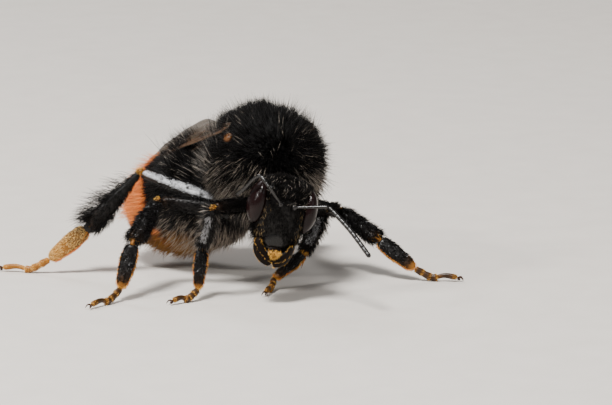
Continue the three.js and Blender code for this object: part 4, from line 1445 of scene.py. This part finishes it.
def dress_joints(add, front, hind):
    """Gold tufts at the end of the tibia, on the knee and at the ends of each small tarsal joint."""
    def joint_ends(at):
        return (at.s > 0.7) + 0.5 * (at.s < 0.15) + 0.6 * hind

    count, length = (200, 0.42) if front else (130, 0.28)
    add("gold", "tibia", count, lambda at: at.s > 0.95, length, 0.5, width=0.03, size=0.4)
    count, length = (60, 0.2) if front else (90, 0.28)
    add("gold", "knee", count, None, length, 0.7, width=0.03, size=0.4, loose=0.25)
    add("black", "knee", 60, None, 0.34, 0.5, **SHORT_HAIRS)
    for number in TARSALS:
        add("pale" if hind else "gold", f"tarsal_{number}", 110, joint_ends, 0.18, 0.5, width=0.028,
            size=0.3)


for (pair, side_name), forms in legs.items():
    add, side = adder(forms), SIDES[side_name]
    dress_thigh(add, pair, side)
    if pair == "hind":
        dress_hind_shin(add, side)
    else:
        dress_shin(add, pair == "front")
    dress_joints(add, pair == "front", pair == "hind")

# %% The mouth's pile, and the coats of legs and mouth
def jaw_rims(at):
    """Along the blade's two edges, and along the middle of its two faces."""
    broad = np.abs(np.cos(at.turn))
    return (broad > 0.94) | (broad < 0.08)


for jaw in jaws.values():
    leg_coats["gold"].append(grow(jaw, 240, jaw_rims, 0.24, 0.3, width=0.026, size=0.3))
leg_coats["gold"].append(grow(lip, 210, lambda at: np.maximum(at.out @ FORWARD, 0) * (at.s > 0.2),
                              0.34, 0.45, -CROWNWARD, width=0.034, loose=0.2, size=0.3))
for colour, (material, slot) in LEG_COATS.items():
    coat(f"coat_legs_{colour}", leg_coats[colour], material)
print("coat triangles:", sum(coat_pieces), "largest piece:", max(coat_pieces))

# %% [markdown]
# ## The floor
#
# A plain pale floor gives the bee its shadow. It is a stage and no part of the bee, so it is one
# large square, with faint clouds in its colour so that it doesn't look like cut paper.

# %% Floor
FLOOR = 1.6


def floor_finish():
    """A matt, warm, pale surface."""
    paint = Paint("floor")
    clouds = paint.noise(0.35, 5.0)
    colour = paint.mix(clouds, (0.61, 0.57, 0.525), (0.7, 0.655, 0.605))
    normal = paint.bump(clouds, 0.05, 0.2)
    return paint.finish(Base_Color=colour, Roughness=0.62 + 0.1 * clouds, Normal=normal)


floor_mesh = bpy.data.meshes.new("floor")
floor_corners = [(x * FLOOR, y * FLOOR, 0) for x, y in ((-1, -1), (1, -1), (1, 1), (-1, 1))]
floor_mesh.from_pydata(floor_corners, [], [(0, 1, 2, 3)])
floor = bpy.data.objects.new("floor", floor_mesh)
bpy.context.collection.objects.link(floor)
floor.data.materials.append(floor_finish())
print("floor:", 2 * FLOOR, "m wide")

# %% [markdown]
# ## The camera
#
# A close-up of a bee with a normal lens would make its head look huge. The camera stands 300 mm away
# with a long lens instead, a little above the floor and to the bee's right. It could be aimed by
# hand, but from the scale and one fixed point its place and its aim follow by arithmetic.

# %% Camera
AZIMUTH, ELEVATION, DISTANCE = math.radians(-25), math.radians(11.5), 300.0
# The scale, the picture's size, and where in it the bee's own zero lies.
PIXELS_PER_MM, IMAGE, ANCHOR = 14.0, (612, 405), (266, 285.7)
SENSOR = 36
ahead = np.array([-math.sin(AZIMUTH) * math.cos(ELEVATION), math.cos(AZIMUTH) * math.cos(ELEVATION),
                  -math.sin(ELEVATION)])
right = np.array([math.cos(AZIMUTH), math.sin(AZIMUTH), 0])
above_view = np.cross(right, ahead)
focal = PIXELS_PER_MM * DISTANCE
aside, below = ((ANCHOR[i] - IMAGE[i] / 2) / focal for i in range(2))
to_anchor = ahead + aside * right - below * above_view
camera_data = bpy.data.cameras.new("camera")
camera = bpy.data.objects.new("camera", camera_data)
bpy.context.collection.objects.link(camera)
camera_data.sensor_width = SENSOR
camera_data.lens = SENSOR * focal / IMAGE[0]
camera_data.clip_start = 0.01
turned = Matrix([[right[i], above_view[i], -ahead[i]] for i in range(3)]).to_4x4()
camera.matrix_world = Matrix.Translation(placed(-to_anchor * DISTANCE)) @ turned
bpy.context.scene.camera = camera
print("camera at", [round(value, 4) for value in camera.location], "lens", round(camera_data.lens, 1))

# %% [markdown]
# ## The lights
#
# Black hair shows its form only by its highlights. A soft key lamp stands above and in front, and a
# smaller side lamp sharpens the glints on the bee's right. A large weak fill lamp opens the shadows,
# and a rim lamp behind draws a silver edge on the hairs. The world adds a faint warm grey.

# %% Lights
WARM = (1, 0.985, 0.96)
LIT_AT = np.array([0, 1, 6.0])


def lamp(name, way, distance, size, power, colour):
    """A soft square light, seen from the bee in this direction."""
    light = bpy.data.lights.new(name, "AREA")
    light.size, light.energy, light.color = size, power, colour
    made = bpy.data.objects.new(name, light)
    bpy.context.collection.objects.link(made)
    way = unit(np.array(way, float))
    made.location = placed(LIT_AT + way * distance / MM)
    made.rotation_euler = Vector(way).to_track_quat("Z", "Y").to_euler()


lamp("key", -ahead * 0.42 - right * 0.24 + UP * 0.85, 0.34, 0.075, 2.4, WARM)
lamp("side", -ahead * 0.5 - right * 0.9 + UP * 0.5, 0.36, 0.045, 0.62, WARM)
lamp("fill", -ahead * 0.9 + right * 0.9 + UP * 0.35, 0.4, 0.2, 0.22, (0.96, 0.98, 1))
lamp("rim", ahead * 0.75 - right * 0.35 + UP * 0.8, 0.35, 0.1, 0.35, (1, 1, 1))
world = bpy.data.worlds.new("studio")
bpy.context.scene.world = world
world.use_nodes = True
background = world.node_tree.nodes["Background"]
background.inputs["Color"].default_value = (0.86, 0.84, 0.82, 1)
background.inputs["Strength"].default_value = 0.27
print("lamps:", len(bpy.data.lights))
